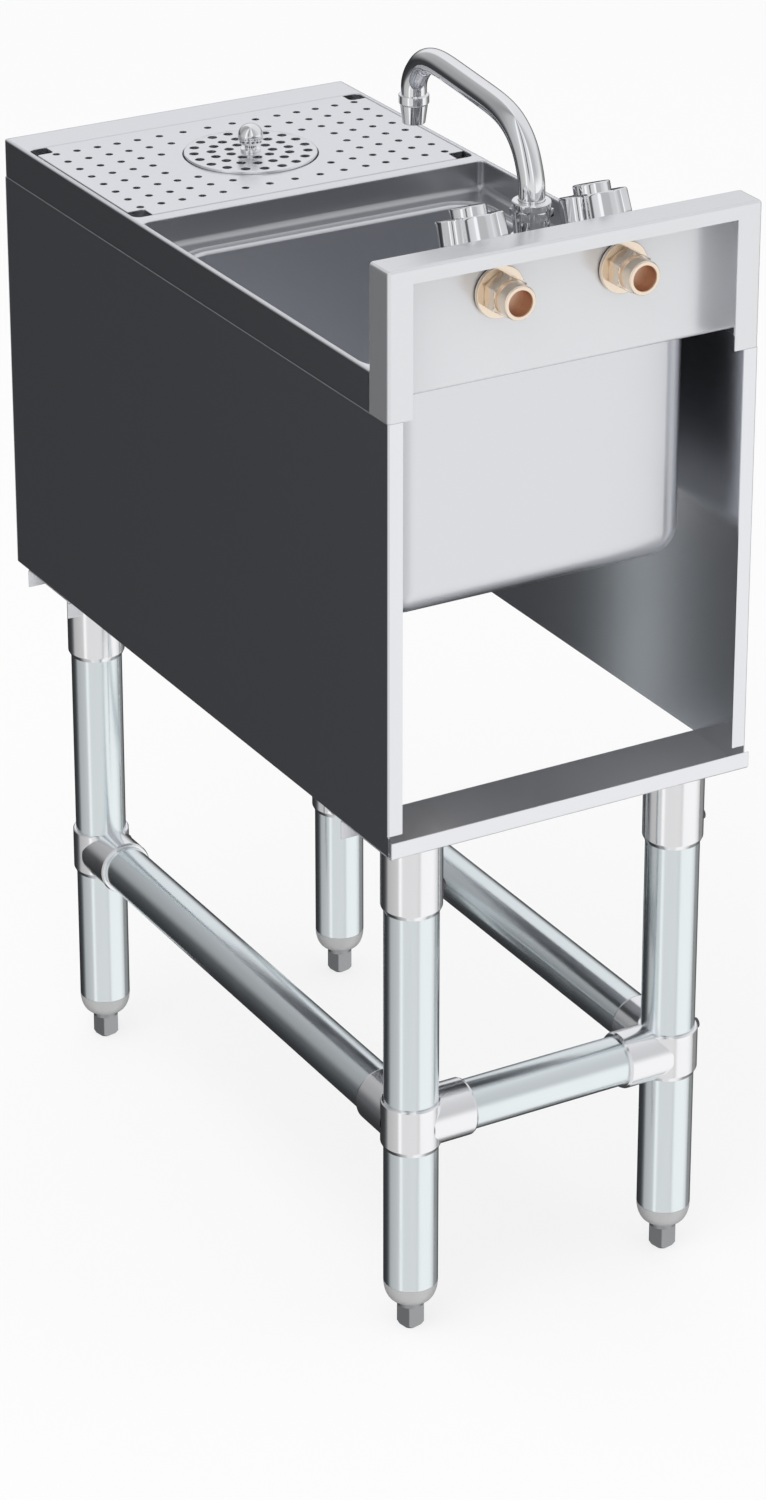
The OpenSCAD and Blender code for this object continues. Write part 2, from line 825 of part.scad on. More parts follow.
module perforated_plate() {
    half = well_half_w - plate_gap;
    d = tray_d - 2 * plate_gap;
    skirt_half = half - notch_w - plate_skirt_gap;
    skirt_d = d / 2 - notch_w - plate_skirt_gap;
    xs = [for (s = plate_hole_column_shares) each s == 0 ? [0] : [-s * well_half_w, s * well_half_w]];
    color(steel) translate([0, tray_mid_y, 0]) {
        translate([0, 0, rim_h - plate_t]) linear_extrude(plate_t) difference() {
            plate_outline(half, d);
            circle(r = disc_r + disc_gap);
            for (x = xs, row = [0:plate_rows - 1]) {
                y = (row - (plate_rows - 1) / 2) * plate_row_pitch;
                if (norm([x, y]) > plate_clear_r) translate([x, y]) circle(d = plate_hole_d);
            }
        }
        for (s = [-1, 1]) {
            x = s * (half - plate_t / 2);
            y = s * (d / 2 - plate_t / 2);
            block(x - plate_t / 2, x + plate_t / 2, -skirt_d, skirt_d,
                tray_floor_z + move_gap, rim_h - plate_t);
            block(-skirt_half, skirt_half, y - plate_t / 2, y + plate_t / 2,
                tray_floor_z + move_gap, rim_h - plate_t);
        }
    }
}

// The disc has a rim that reaches under the plate, so that the plate lifts it off its stem
module press_disc() {
    top = disc_bottom_z + disc_t;
    lip_top = rim_h - plate_t - move_gap;
    lip_low = lip_top - disc_lip_t;
    color(steel) translate([0, tray_mid_y, 0]) difference() {
        union() {
            post(disc_d, lip_low, top);
            post(disc_d + 2 * (disc_gap + disc_lip_reach), lip_low, lip_top);
        }
        post(disc_d - 2 * disc_wall_w, lip_low - over, disc_bottom_z);
        for (i = [0:len(disc_ring_counts) - 1], k = [1:disc_ring_counts[i]]) {
            rotate([0, 0, 360 * k / disc_ring_counts[i]]) translate([disc_r * disc_ring_shares[i], 0, 0])
                post(disc_hole_d, disc_bottom_z - over, top + over);
        }
        post(stem_d + 2 * run_gap, disc_bottom_z - over, top + over);
    }
}

module spray_nozzle() {
    foot_z = disc_bottom_z + disc_t;
    dome_r = nozzle_d / 2;
    dome_z = foot_z + nozzle_foot_h + nozzle_neck_h + dome_r * (2 * nozzle_height_share - 1);
    color(chrome) translate([0, tray_mid_y, 0]) difference() {
        union() {
            post(nozzle_foot_d, foot_z, foot_z + nozzle_foot_h);
            post(nozzle_neck_d, foot_z + nozzle_foot_h, dome_z);
            difference() {
                translate([0, 0, dome_z]) sphere(r = dome_r);
                post(nozzle_d + over, dome_z - nozzle_d, foot_z + nozzle_foot_h + nozzle_neck_h);
            }
        }
        post(stem_bore_d, foot_z - over, dome_z);
        translate([0, 0, dome_z]) {
            for (k = [1:nozzle_jets]) rotate([0, 0, 360 * k / nozzle_jets]) rotate([0, 45, 0])
                post(nozzle_jet_d, 0, nozzle_d);
            post(nozzle_jet_d, 0, nozzle_d);
        }
    }
}

module rinser_stem() {
    top = disc_bottom_z + disc_t - move_gap;
    low = stem_low_z;
    color(chrome) translate([0, tray_mid_y, 0]) difference() {
        union() {
            post(stem_d, low, top);
            post(stem_collar_d, low, low + stem_collar_h);
        }
        post(stem_bore_d, low - over, top + over);
    }
}

// One ring of points of the spring wire at turn angle a and height z
function spring_ring(a, z) = [for (k = [0:spring_sides - 1]) let (b = 360 * k / spring_sides)
    [(spring_r + spring_wire / 2 * cos(b)) * cos(a), (spring_r + spring_wire / 2 * cos(b)) * sin(a),
        z + spring_wire / 2 * sin(b)]];

module rinser_spring() {
    rings = spring_turns * spring_steps;
    low = valve_low_z + chamber_floor + spring_wire / 2;
    high = stem_low_z - spring_wire / 2 - move_gap;
    points = [for (i = [0:rings]) each spring_ring(360 * i / spring_steps, low + (high - low) * i / rings)];
    sides = [for (i = [0:rings - 1], k = [0:spring_sides - 1]) let (
        a = i * spring_sides + k,
        b = i * spring_sides + (k + 1) % spring_sides)
        each [[a, a + spring_sides, b], [b, a + spring_sides, b + spring_sides]]];
    last = rings * spring_sides;
    caps = [[for (k = [0:spring_sides - 1]) k], [for (k = [spring_sides - 1:-1:0]) last + k]];
    color(chrome) translate([0, tray_mid_y, 0]) polyhedron(points, concat(sides, caps));
}

valve_top_z = rim_h - plate_t - move_gap - disc_lip_t - press_travel - disc_floor_gap;
valve_low_z = tray_floor_z - valve_tail_h;
stem_low_z = valve_top_z - chamber_cap - move_gap - stem_collar_h;

module rinser_body() {
    color(chrome) translate([0, tray_mid_y, 0]) difference() {
        union() {
            post(valve_flange_d, tray_floor_z, tray_floor_z + valve_flange_t);
            post(valve_barrel_d, tray_floor_z, valve_top_z);
            post(rinser_tail_od, valve_low_z, tray_floor_z);
        }
        post(stem_d + 2 * run_gap, valve_top_z - chamber_cap - over, valve_top_z + over);
        post(chamber_d, valve_low_z + chamber_floor, valve_top_z - chamber_cap);
        post(rinser_bore_d, valve_low_z - over, valve_low_z + chamber_floor + over);
    }
}

module rinser_washer() {
    top = tray_floor_z - sheet;
    color(rubber) translate([0, tray_mid_y, 0]) difference() {
        post(valve_washer_d, top - valve_washer_t, top);
        post(rinser_tail_od + 2 * fit_gap, top - valve_washer_t - over, top + over);
    }
}

module rinser_lock_nut() {
    top = tray_floor_z - sheet - valve_washer_t;
    color(brass) translate([0, tray_mid_y, 0]) difference() {
        hex_bar(valve_nut_af, top - valve_nut_h, top);
        post(rinser_tail_od + 2 * fit_gap, top - valve_nut_h - over, top + over);
    }
}

module rinser_inlet() {
    hex_low = valve_low_z - rinser_inlet_hex_h;
    neck_z = hex_low - neck_show;
    low = neck_z - rinser_inlet_l;
    color(brass) translate([0, tray_mid_y, 0]) difference() {
        union() {
            hex_bar(rinser_inlet_af, hex_low, valve_low_z);
            post(rinser_inlet_od - 2 * neck_cut, neck_z - over, hex_low + over);
            post(rinser_inlet_od, low, neck_z);
        }
        post(rinser_bore_d, low - over, valve_low_z + over);
    }
}

tray_drain_x = well_half_w * tray_drain_x_share;

module tray_drain() {
    low = tray_floor_z - tray_tail_h;
    top = tray_floor_z + tray_drain_flange_t;
    neck_z = tray_floor_z - sheet - tray_nut_h - neck_show;
    color(chrome) translate([tray_drain_x, tray_mid_y, 0]) difference() {
        union() {
            post(tray_drain_flange_d, tray_floor_z, top);
            post(tray_tail_od - 2 * neck_cut, neck_z - over, tray_floor_z + over);
            post(tray_tail_od, low, neck_z);
        }
        post(tray_tail_od - 2 * tube_wall, low - over, top + over);
    }
}

module tray_drain_nut() {
    top = tray_floor_z - sheet;
    color(brass) translate([tray_drain_x, tray_mid_y, 0]) difference() {
        union() {
            hex_bar(tray_nut_af, top - tray_nut_h, top - tray_washer_t);
            post(tray_nut_af, top - tray_washer_t, top);
        }
        post(tray_tail_od + 2 * fit_gap, top - tray_nut_h - over, top + over);
    }
}

module drain_flange() {
    low = bowl_floor_z - drain_tail_h;
    top = bowl_floor_z + drain_flange_t;
    color(chrome) translate([0, bowl_mid_y, 0]) difference() {
        union() {
            translate([0, 0, bowl_floor_z])
                cylinder(d1 = drain_flange_d, d2 = drain_flange_d - 2 * drain_flange_t, h = drain_flange_t);
            post(drain_tail_od, low, bowl_floor_z);
        }
        post(tailpiece_od, low - over, top + over);
        post(drain_recess_d, top - drain_recess_h, top + over);
    }
}

module drain_gasket() {
    top = bowl_floor_z - sheet;
    color(rubber) translate([0, bowl_mid_y, 0]) difference() {
        post(drain_gasket_d, top - drain_gasket_t, top);
        post(drain_tail_od + 2 * fit_gap, top - drain_gasket_t - over, top + over);
    }
}

module drain_lock_nut() {
    top = bowl_floor_z - sheet - drain_gasket_t;
    color(brass) translate([0, bowl_mid_y, 0]) difference() {
        hex_bar(drain_nut_af, top - drain_nut_h, top);
        post(drain_tail_od + 2 * fit_gap, top - drain_nut_h - over, top + over);
    }
}

tail_top_z = bowl_floor_z - drain_tail_h;

module tail_nut() {
    low = tail_top_z - tailpiece_flange_t - tail_nut_floor;
    color(brass) translate([0, bowl_mid_y, 0]) difference() {
        hex_bar(tail_nut_af, low, low + tail_nut_h);
        post(drain_tail_od + 2 * fit_gap, tail_top_z - tailpiece_flange_t, low + tail_nut_h + over);
        post(tailpiece_od + 2 * fit_gap, low - over, low + tail_nut_h);
    }
}

module tailpiece() {
    low = tail_top_z - tailpiece_l;
    neck_z = tail_top_z - tailpiece_flange_t - tail_nut_floor - neck_show;
    color(chrome) translate([0, bowl_mid_y, 0]) difference() {
        union() {
            post(tailpiece_od - 2 * neck_cut, neck_z - over, tail_top_z);
            post(tailpiece_od, low, neck_z);
            post(tailpiece_flange_d, tail_top_z - tailpiece_flange_t, tail_top_z);
        }
        post(tailpiece_od - 2 * tube_wall, low - over, tail_top_z + over);
    }
}

module strainer() {
    low = bowl_floor_z + drain_flange_t - drain_recess_h + move_gap;
    r = drain_recess_d / 2 - move_gap;
    color(steel) translate([0, bowl_mid_y, 0]) {
        difference() {
            post(2 * r, low, low + strainer_t);
            for (i = [0:len(strainer_ring_shares) - 1], k = [1:strainer_holes]) {
                rotate([0, 0, 360 * (k + i / 2) / strainer_holes])
                    translate([r * strainer_ring_shares[i], 0, low - over])
                    cylinder(d = strainer_hole_d, h = strainer_t + 2 * over);
            }
        }
        post(strainer_post_d, low + strainer_t, low + strainer_t + strainer_post_h);
    }
}

// Places a child at each inlet: the hot side is -X and the cold side is +X
module at_valve(s) {
    translate([s * inlet_centres / 2, faucet_y, faucet_z]) children();
}

// Places a child on a valve's leaning axis, whose zero is at the inlets' height
module at_stem(s) {
    at_valve(s) translate([0, valve_back, 0]) rotate([handle_lean, 0, 0]) children();
}

module faucet_body() {
    bore_depth = hub_above + neck_h - pivot_h;
    shank_l = wall_rear_y + gasket_t + washer_t + adapter_hex_l - faucet_y;
    color(chrome) difference() {
        union() {
            translate([-inlet_centres / 2, faucet_y, faucet_z]) rotate([0, 90, 0])
                cylinder(d = bar_d, h = inlet_centres);
            translate([0, faucet_y, faucet_z]) {
                post(hub_d, -hub_below, hub_above);
                post(neck_d, hub_above, hub_above + neck_h);
            }
            for (s = [-1, 1]) at_stem(s) post(barrel_d, -barrel_below, barrel_above);
            for (s = [-1, 1]) at_valve(s) {
                post(bar_d, -bar_end_h, bar_end_h);
                to_rear() cylinder(d = arm_d, h = faucet_reach - escutcheon_t);
                to_rear() cylinder(d = shank_d, h = shank_l);
            }
        }
        translate([0, faucet_y, faucet_z])
            post(pivot_d + 2 * run_gap, bore_depth - spout_pivot_gap, hub_above + neck_h + over);
        for (s = [-1, 1]) at_stem(s) post(stem_rod_d + 2 * run_gap, -stem_rod_below, barrel_above + over);
        for (s = [-1, 1]) at_valve(s) to_rear() post(shank_bore_d, barrel_d / 2, shank_l + over);
    }
}

wall_rear_y = wall_y + sheet;

module escutcheons() {
    color(chrome) for (s = [-1, 1]) at_valve(s) to_rear() difference() {
        translate([0, 0, faucet_reach - escutcheon_t]) {
            cylinder(d1 = arm_d + 2 * escutcheon_edge, d2 = escutcheon_d,
                h = escutcheon_t - escutcheon_edge);
            post(escutcheon_d, escutcheon_t - escutcheon_edge, escutcheon_t);
        }
        post(shank_d + 2 * fit_gap, 0, faucet_reach + over);
    }
}

// Ring on both inlet shanks, starting at distance a behind the wall
module inlet_ring(a, t, d) {
    for (s = [-1, 1]) {
        translate([s * inlet_centres / 2, wall_rear_y + a, faucet_z]) to_rear() difference() {
            post(d, 0, t);
            post(shank_d + 2 * fit_gap, -over, t + over);
        }
    }
}

module inlet_gaskets() {
    color(rubber) inlet_ring(0, gasket_t, gasket_d);
}

module inlet_washers() {
    color(brass) inlet_ring(gasket_t, washer_t, washer_d);
}

module inlet_adapters() {
    l = adapter_hex_l + adapter_collar_l;
    color(brass) for (s = [-1, 1]) {
        adapter_y = wall_rear_y + gasket_t + washer_t;
        translate([s * inlet_centres / 2, adapter_y, faucet_z]) to_rear() difference() {
            union() {
                rotate([0, 0, 30]) hex_bar(adapter_af, 0, adapter_hex_l);
                post(adapter_collar_d - 2 * adapter_groove, adapter_hex_l / 2, l);
                post(adapter_collar_d, adapter_hex_l + adapter_collar_l / 4, l);
            }
            post(shank_d + 2 * fit_gap, -over, adapter_hex_l);
            post(shank_bore_d, 0, l);
            post(inlet_bore_d, adapter_hex_l + adapter_groove, l + over);
        }
    }
}

module valve_bonnets() {
    color(chrome) for (s = [-1, 1]) at_stem(s) difference() {
        hex_bar(bonnet_d, barrel_above, barrel_above + bonnet_h);
        post(stem_rod_d + 2 * run_gap, barrel_above - over, barrel_above + bonnet_h + over);
    }
}

module valve_stem(s) {
    color(brass) at_stem(s)
        post(stem_rod_d, move_gap - stem_rod_below, barrel_above + move_gap + stem_rod_above);
}

module hot_stem() {
    valve_stem(-1);
}

module cold_stem() {
    valve_stem(1);
}

// Handle with tall petals between round flutes, and a narrower flat cap
module handle(s) {
    cap_z = knob_h - knob_cap_h;
    low_r = knob_d / 2 * knob_flute_share;
    high_r = knob_top_d / 2 * knob_flute_share;
    tilt = atan2(low_r - high_r, cap_z - knob_skirt_h);
    base = barrel_above + move_gap;
    color(chrome) at_stem(s) translate([0, 0, base]) rotate([0, 0, knob_turn]) difference() {
        union() {
            cylinder(d1 = knob_d - knob_skirt_h, d2 = knob_d, h = knob_skirt_h);
            translate([0, 0, knob_skirt_h]) cylinder(d1 = knob_d, d2 = knob_top_d, h = cap_z - knob_skirt_h);
            post(knob_cap_d, cap_z, knob_h - knob_cap_chamfer);
            translate([0, 0, knob_h - knob_cap_chamfer])
                cylinder(d1 = knob_cap_d, d2 = knob_cap_d - 2 * knob_cap_chamfer, h = knob_cap_chamfer);
        }
        for (k = [1:knob_petals]) rotate([0, 0, 360 * (k - 1 / 2) / knob_petals])
            translate([high_r, 0, cap_z + fit_gap]) rotate([0, 180 - tilt, 0])
            translate([0, 0, -knob_cap_h / 2]) cylinder(d = knob_flute_d, h = 2 * knob_h);
        post(knob_recess_d, -over, knob_recess_h);
        post(stem_rod_d + 2 * fit_gap, 0, stem_rod_above);
    }
}

module hot_handle() {
    handle(-1);
}

module cold_handle() {
    handle(1);
}

// Hollow round bar from z0 to z1
module pipe(d, b, z0, z1) {
    translate([0, 0, z0]) linear_extrude(z1 - z0) pipe_section(d, b);
}

module pipe_section(d, b) {
    difference() {
        circle(d = d);
        circle(d = b);
    }
}

// Hollow bend of radius r about the Z axis, from angle start through the given turn
module pipe_bend(d, b, r, start, turn) {
    rotate_extrude(angle = turn, start = start) translate([r, 0]) pipe_section(d, b);
}

// Straight stretch of the spout, with laps that reach past both ends into what it joins
module lapped_pipe(z0, z1) {
    pipe(spout_od + 2 * joint_step, spout_bore_d - 2 * joint_step, z0 - joint_lap, z1 + joint_lap);
}

module spout() {
    pivot_z = neck_top_z - pivot_h + spout_pivot_gap;
    ring_z = (pivot_z + swivel_z) / 2;
    groove = ring_wire / 2 + fit_gap;
    tube_r0 = spout_bore_d / 2;
    color(chrome) {
        translate([0, faucet_y, 0]) {
            rotate_extrude() polygon([
                [pivot_bore_d / 2, pivot_z],
                [pivot_d / 2, pivot_z],
                [pivot_d / 2, ring_z - groove],
                [pivot_d / 2 - ring_wire, ring_z - groove],
                [pivot_d / 2 - ring_wire, ring_z + groove],
                [pivot_d / 2, ring_z + groove],
                [pivot_d / 2, swivel_z],
                [collar_d / 2, swivel_z],
                [collar_d / 2, swivel_z + collar_h],
                [tube_r0, swivel_z + collar_h],
                [pivot_bore_d / 2, swivel_z]]);
            lapped_pipe(swivel_z + collar_h + joint_lap, spout_bend_z);
        }
        translate([0, faucet_y - spout_r1, spout_bend_z]) rotate([90, 0, 90])
            pipe_bend(spout_od, spout_bore_d, spout_r1, 0, spout_turn1);
        translate([0, run_y0, run_z0]) rotate([90 - spout_slope, 0, 0]) lapped_pipe(0, spout_run);
        translate([0, bend_y, bend_z]) rotate([90, 0, 90])
            pipe_bend(spout_od, spout_bore_d, spout_r2, spout_turn1, spout_turn2);
        translate([0, outlet_y, 0]) lapped_pipe(outlet_z + joint_lap, bend_z);
    }
}

module spout_ring() {
    pivot_z = neck_top_z - pivot_h + spout_pivot_gap;
    color(rubber) translate([0, faucet_y, (pivot_z + swivel_z) / 2]) rotate_extrude()
        translate([pivot_d / 2 - ring_wire / 2, 0]) circle(d = ring_wire - fit_gap);
}

module spout_nut() {
    low = hub_top_z;
    high = low + nut_h;
    shoulder = swivel_z + collar_h + move_gap;
    color(chrome) translate([0, faucet_y, 0]) difference() {
        union() {
            translate([0, 0, low]) cylinder(d1 = nut_d_low, d2 = nut_af_top, h = nut_h - nut_lip);
            hex_bar(nut_af_top - knob_cap_chamfer, low + nut_h / 2, high - nut_lip);
            post(nut_af_top, high - nut_lip, high);
        }
        post(neck_d + 2 * fit_gap, low - over, shoulder);
        post(spout_od + 2 * move_gap, low, high + over);
    }
}

module aerator() {
    low = outlet_z - aerator_h;
    grid_z = low + aerator_lip;
    color(chrome) translate([0, outlet_y, 0]) difference() {
        union() {
            post(aerator_d, outlet_z - aerator_band_h, outlet_z);
            translate([0, 0, low])
                cylinder(d1 = aerator_waist_d, d2 = aerator_d, h = aerator_h - aerator_band_h);
        }
        post(aerator_bore_d, grid_z + aerator_lip, outlet_z + over);
        post(aerator_bore_d, low - over, grid_z);
        for (a = [0:60:300]) rotate([0, 0, a]) translate([aerator_bore_d / 4, 0, low])
            cylinder(d = aerator_lip, h = aerator_h);
    }
}

deck();
backsplash();
drip_pan();
sink_well();
sink_bowl();
side_panel_right();
side_panel_left();
front_panel();
front_channel();
rear_channel();
leg_sockets();
leg_front_right();
leg_front_left();
leg_rear_right();
leg_rear_left();
tee_front_right();
tee_front_left();
tee_rear_right();
tee_rear_left();
brace_right();
brace_left();
brace_rear();
set_screws();
foot_inserts();
foot_front_right();
foot_front_left();
foot_rear_right();
foot_rear_left();
perforated_plate();
press_disc();
spray_nozzle();
rinser_stem();
rinser_spring();
rinser_body();
rinser_washer();
rinser_lock_nut();
rinser_inlet();
tray_drain();
tray_drain_nut();
drain_flange();
drain_gasket();
drain_lock_nut();
tail_nut();
tailpiece();
strainer();
faucet_body();
escutcheons();
inlet_gaskets();
inlet_washers();
inlet_adapters();
valve_bonnets();
hot_stem();
cold_stem();
hot_handle();
cold_handle();
spout();
spout_ring();
spout_nut();
aerator();
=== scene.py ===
import json
import math

import bpy
import numpy as np
from bpy.props import FloatProperty, FloatVectorProperty, IntProperty, PointerProperty
from bpy.types import Operator, Panel, PropertyGroup
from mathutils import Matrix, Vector
from mathutils.geometry import delaunay_2d_cdt


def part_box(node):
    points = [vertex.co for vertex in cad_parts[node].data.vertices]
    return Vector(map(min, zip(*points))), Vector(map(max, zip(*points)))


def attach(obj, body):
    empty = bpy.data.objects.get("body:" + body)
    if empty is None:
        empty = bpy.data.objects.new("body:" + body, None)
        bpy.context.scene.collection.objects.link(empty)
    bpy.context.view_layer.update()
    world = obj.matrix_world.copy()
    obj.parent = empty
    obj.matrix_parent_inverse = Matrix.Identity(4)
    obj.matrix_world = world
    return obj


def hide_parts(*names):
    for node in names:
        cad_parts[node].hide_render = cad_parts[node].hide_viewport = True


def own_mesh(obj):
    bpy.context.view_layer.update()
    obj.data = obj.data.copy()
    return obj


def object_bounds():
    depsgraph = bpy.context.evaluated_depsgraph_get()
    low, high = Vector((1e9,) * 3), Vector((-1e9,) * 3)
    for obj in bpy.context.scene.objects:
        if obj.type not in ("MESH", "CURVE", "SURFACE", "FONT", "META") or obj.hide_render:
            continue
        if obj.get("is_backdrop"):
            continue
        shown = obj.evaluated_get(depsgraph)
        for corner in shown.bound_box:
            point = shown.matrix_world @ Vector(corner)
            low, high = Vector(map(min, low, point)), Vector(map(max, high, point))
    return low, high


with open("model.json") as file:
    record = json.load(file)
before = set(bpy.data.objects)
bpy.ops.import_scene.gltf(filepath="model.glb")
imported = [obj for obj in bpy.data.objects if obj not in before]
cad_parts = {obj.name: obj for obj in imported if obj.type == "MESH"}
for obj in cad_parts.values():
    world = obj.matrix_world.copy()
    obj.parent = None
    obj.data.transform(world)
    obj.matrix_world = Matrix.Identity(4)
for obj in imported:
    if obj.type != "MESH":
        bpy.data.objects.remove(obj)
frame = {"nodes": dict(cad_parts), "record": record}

bl_info = {
    "name": "Cocktail station",
    "version": (1, 0, 0),
    "blender": (4, 5, 0),
    "location": "3D View > Sidebar > Station",
    "description": "Builds the looks of a stainless cocktail station round its packed solids",
    "category": "Object",
}

MM = 0.001
CAD_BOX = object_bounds()


# Sizes and colours that a user would change

def millimetres(name, text, value):
    return FloatProperty(name=name, description=text, default=value * MM, unit="LENGTH", subtype="DISTANCE")


def tint(name, text, value):
    return FloatVectorProperty(name=name, description=text, default=value, size=3, min=0, max=1,
                               subtype="COLOR")


class StationSizes(PropertyGroup):
    sheet: millimetres("Sheet", "Thickness of the folded sheet", 1.2)
    bend: millimetres("Bend", "Outer radius of the folds", 2.4)
    rim_roll: millimetres("Rim roll", "Radius where the top rolls into its openings", 1.5)
    bead: millimetres("Bead", "Drop of the ledge's step round the bowl", 1.4)
    well_fillet: millimetres("Well fillet", "Radius at the foot of the well's walls", 8)
    plate_edge: millimetres("Plate edge", "Rounding of the perforated plate's edge", 0.6)
    tube_segments: IntProperty(name="Tube segments", description="Facets round a tube", default=72,
                               min=24, max=160)


class StationColours(PropertyGroup):
    sheet: tint("Sheet", "Satin stainless sheet of the top", (0.87, 0.875, 0.905))
    wall: tint("Wall", "Satin stainless sheet of the backsplash", (0.79, 0.797, 0.82))
    bowl: tint("Bowl", "Satin stainless sheet of the well and bowl", (0.79, 0.8, 0.83))
    panel: tint("Panel", "Satin stainless side panels", (0.85, 0.862, 0.892))
    tube: tint("Tube", "Polished stainless tube", (0.86, 0.92, 0.94))
    fitting: tint("Fitting", "Satin cast fittings", (0.97, 0.97, 0.985))
    chrome: tint("Chrome", "Polished chrome", (0.93, 0.935, 0.945))
    brass: tint("Brass", "Pale brass", (0.93, 0.8, 0.66))
    # the bore is the brass darkened: painted shade inside the adapters' bore
    bore_shade: tint("Bore", "Bore of the inlet adapters", (0.74, 0.5, 0.37))
    foot: tint("Foot", "Plated steel feet", (0.38, 0.39, 0.4))
    insert: tint("Insert", "Matte domed inserts", (0.62, 0.62, 0.625))


def sizes(context, *names):
    """The named sizes in millimetres, in which all points below are given."""
    return [getattr(context.scene.station_sizes, name) / MM for name in names]


# Points: outlines, arcs and profiles

def bend(points, radius, steps=6, closed=False):
    """A polyline whose corners are arcs. An arc's ends lie r / tan(half the corner's angle) before and
    after the corner, and its points turn evenly about its centre."""
    p = np.asarray(points, float)
    radii = np.broadcast_to(np.asarray(radius, float), len(p))
    out = []
    for i, (corner, r) in enumerate(zip(p, radii)):
        if r <= 0 or (not closed and i in (0, len(p) - 1)):
            out.append(corner[None])
            continue
        a, b = p[i - 1] - corner, p[(i + 1) % len(p)] - corner
        la, lb = np.linalg.norm(a), np.linalg.norm(b)
        a, b = a / la, b / lb
        half = math.acos(np.clip(a @ b, -1, 1)) / 2
        t = min(r / math.tan(half), 0.495 * la, 0.495 * lb)
        r = t * math.tan(half)
        centre = corner + (a + b) / np.linalg.norm(a + b) * r / math.sin(half)
        s, e = corner + a * t - centre, corner + b * t - centre
        turn = math.acos(np.clip(s @ e / r ** 2, -1, 1))
        w = np.linspace(0, turn, steps)[:, None]
        out.append(centre + (np.sin(turn - w) * s + np.sin(w) * e) / math.sin(turn))
    return np.vstack(out)


def round_box(x0, x1, y0, y1, r, steps=9):
    """A rectangle with round corners, counter-clockwise from the corner (x1, y0), with one radius or four."""
    r = np.broadcast_to(np.maximum(r, 0.02), 4)[:, None]
    a = np.radians(np.linspace(-90, 0, steps)[None] + 90 * np.arange(4)[:, None])
    cx = np.array([[x1], [x1], [x0], [x0]]) + r * [[-1], [-1], [1], [1]]
    cy = np.array([[y0], [y1], [y1], [y0]]) + r * [[1], [-1], [-1], [1]]
    return np.stack([cx + r * np.cos(a), cy + r * np.sin(a)], -1).reshape(-1, 2)


def circle(x, y, r, steps):
    a = np.linspace(0, 2 * np.pi, steps, endpoint=False)
    return np.c_[x + r * np.cos(a), y + r * np.sin(a)]


def arc(y, z, r, first, last, steps=40):
    """An arc in the plane x = 0, between two angles from the y axis."""
    a = np.radians(np.linspace(first, last, steps))
    return np.c_[np.zeros(steps), y + r * np.cos(a), z + r * np.sin(a)]


def across(path):
    """Unit normals of an open polyline, longer at its corners, so that an offset keeps its distance."""
    step = np.diff(path, axis=0)
    step /= np.linalg.norm(step, axis=1)[:, None]
    side = np.c_[-step[:, 1], step[:, 0]]
    first, last = np.vstack([side[:1], side]), np.vstack([side, side[-1:]])
    mid = first + last
    mid /= np.linalg.norm(mid, axis=1)[:, None]
    return mid / np.maximum((mid * first).sum(1), 0.3)[:, None]


def strip(path, t, inset=0.0, steps=5, square=False):
    """Section of a sheet of thickness t that follows a polyline along its middle: the line is offset by half
    the thickness to both sides, and half circles, or straight ends, close it."""
    h, n = t / 2 - inset, across(path)
    if square:
        return np.vstack([path + n * h, (path - n * h)[::-1]])
    a = np.radians(np.linspace(90, -90, steps))[1:-1, None]
    tail, head = path[0] - path[1], path[-1] - path[-2]
    tail, head = tail / np.linalg.norm(tail), head / np.linalg.norm(head)
    end = path[-1] + h * (np.sin(a) * n[-1] + np.cos(a) * head)
    start = path[0] + h * (-np.sin(a) * n[0] + np.cos(a) * tail)
    return np.vstack([path + n * h, end, (path - n * h)[::-1], start])


# Rings: rows of points, each row joined to the next by skin

AXES = {"x": (2, 0, 1), "y": (0, 2, 1), "z": (0, 1, 2)}


def level(points, z):
    return np.c_[points, np.full(len(points), z)]


def upright(points, *heights):
    """One outline at several heights."""
    return np.stack([level(points, z) for z in heights])


def levels(profile, plan):
    """A plan drawn for each point (inset, height) of a profile, at that inset and height."""
    return np.stack([level(plan(d), z) for d, z in profile])


def turned(r, a, z):
    """Rings about Z, one for each height z, with points at the angles a. The radius r is one number for
    each ring or one for each point."""
    r = np.broadcast_to(r, (len(z), len(a)))
    return np.stack([r * np.cos(a), r * np.sin(a), np.broadcast_to(z[:, None], r.shape)], -1)


def hole(x, y, r, top, low, steps=14, ease=0.2):
    """A drain hole's wall as rings from the top down, its upper edge eased."""
    return levels(((r + ease, top), (r + 0.3 * ease, top - 0.4 * ease), (r, top - ease), (r, low)),
                  lambda q: circle(x, y, q, steps))


# Surfaces: parts are (points, [faces by size])

def weld(points, faces):
    """Merges points in one place, so that seams and poles are closed. A face keeps each of its points
    once, and one that has less than three is dropped."""
    key, back = np.unique(np.round(points, 4), axis=0, return_inverse=True)
    back, out = back.reshape(-1), []
    for f in faces:
        f = back[f]
        same = f == np.roll(f, -1, axis=1)
        for gone in range(f.shape[1] - 2):
            rows = same.sum(1) == gone
            if rows.any():
                out.append(f[rows][~same[rows]].reshape(-1, f.shape[1] - gone))
    return key, out


def outward(points, faces):
    """Turns a closed part's faces to point out: the sum of the tetrahedra from the origin is its volume."""
    volume = sum((points[f[:, :1]] * np.cross(points[f[:, 1:-1]], points[f[:, 2:]])).sum() for f in faces)
    return points, faces if volume > 0 else [f[:, ::-1] for f in faces]


def grid(rings, around, along):
    """The numbers of the rings' points, and the faces between neighbours."""
    index = np.arange(rings.shape[0] * rings.shape[1]).reshape(rings.shape[:2])
    g = np.vstack([index, index[:1]]) if along else index
    g = np.hstack([g, g[:, :1]]) if around else g
    return index, np.stack([g[:-1, :-1], g[:-1, 1:], g[1:, 1:], g[1:, :-1]], -1).reshape(-1, 4)


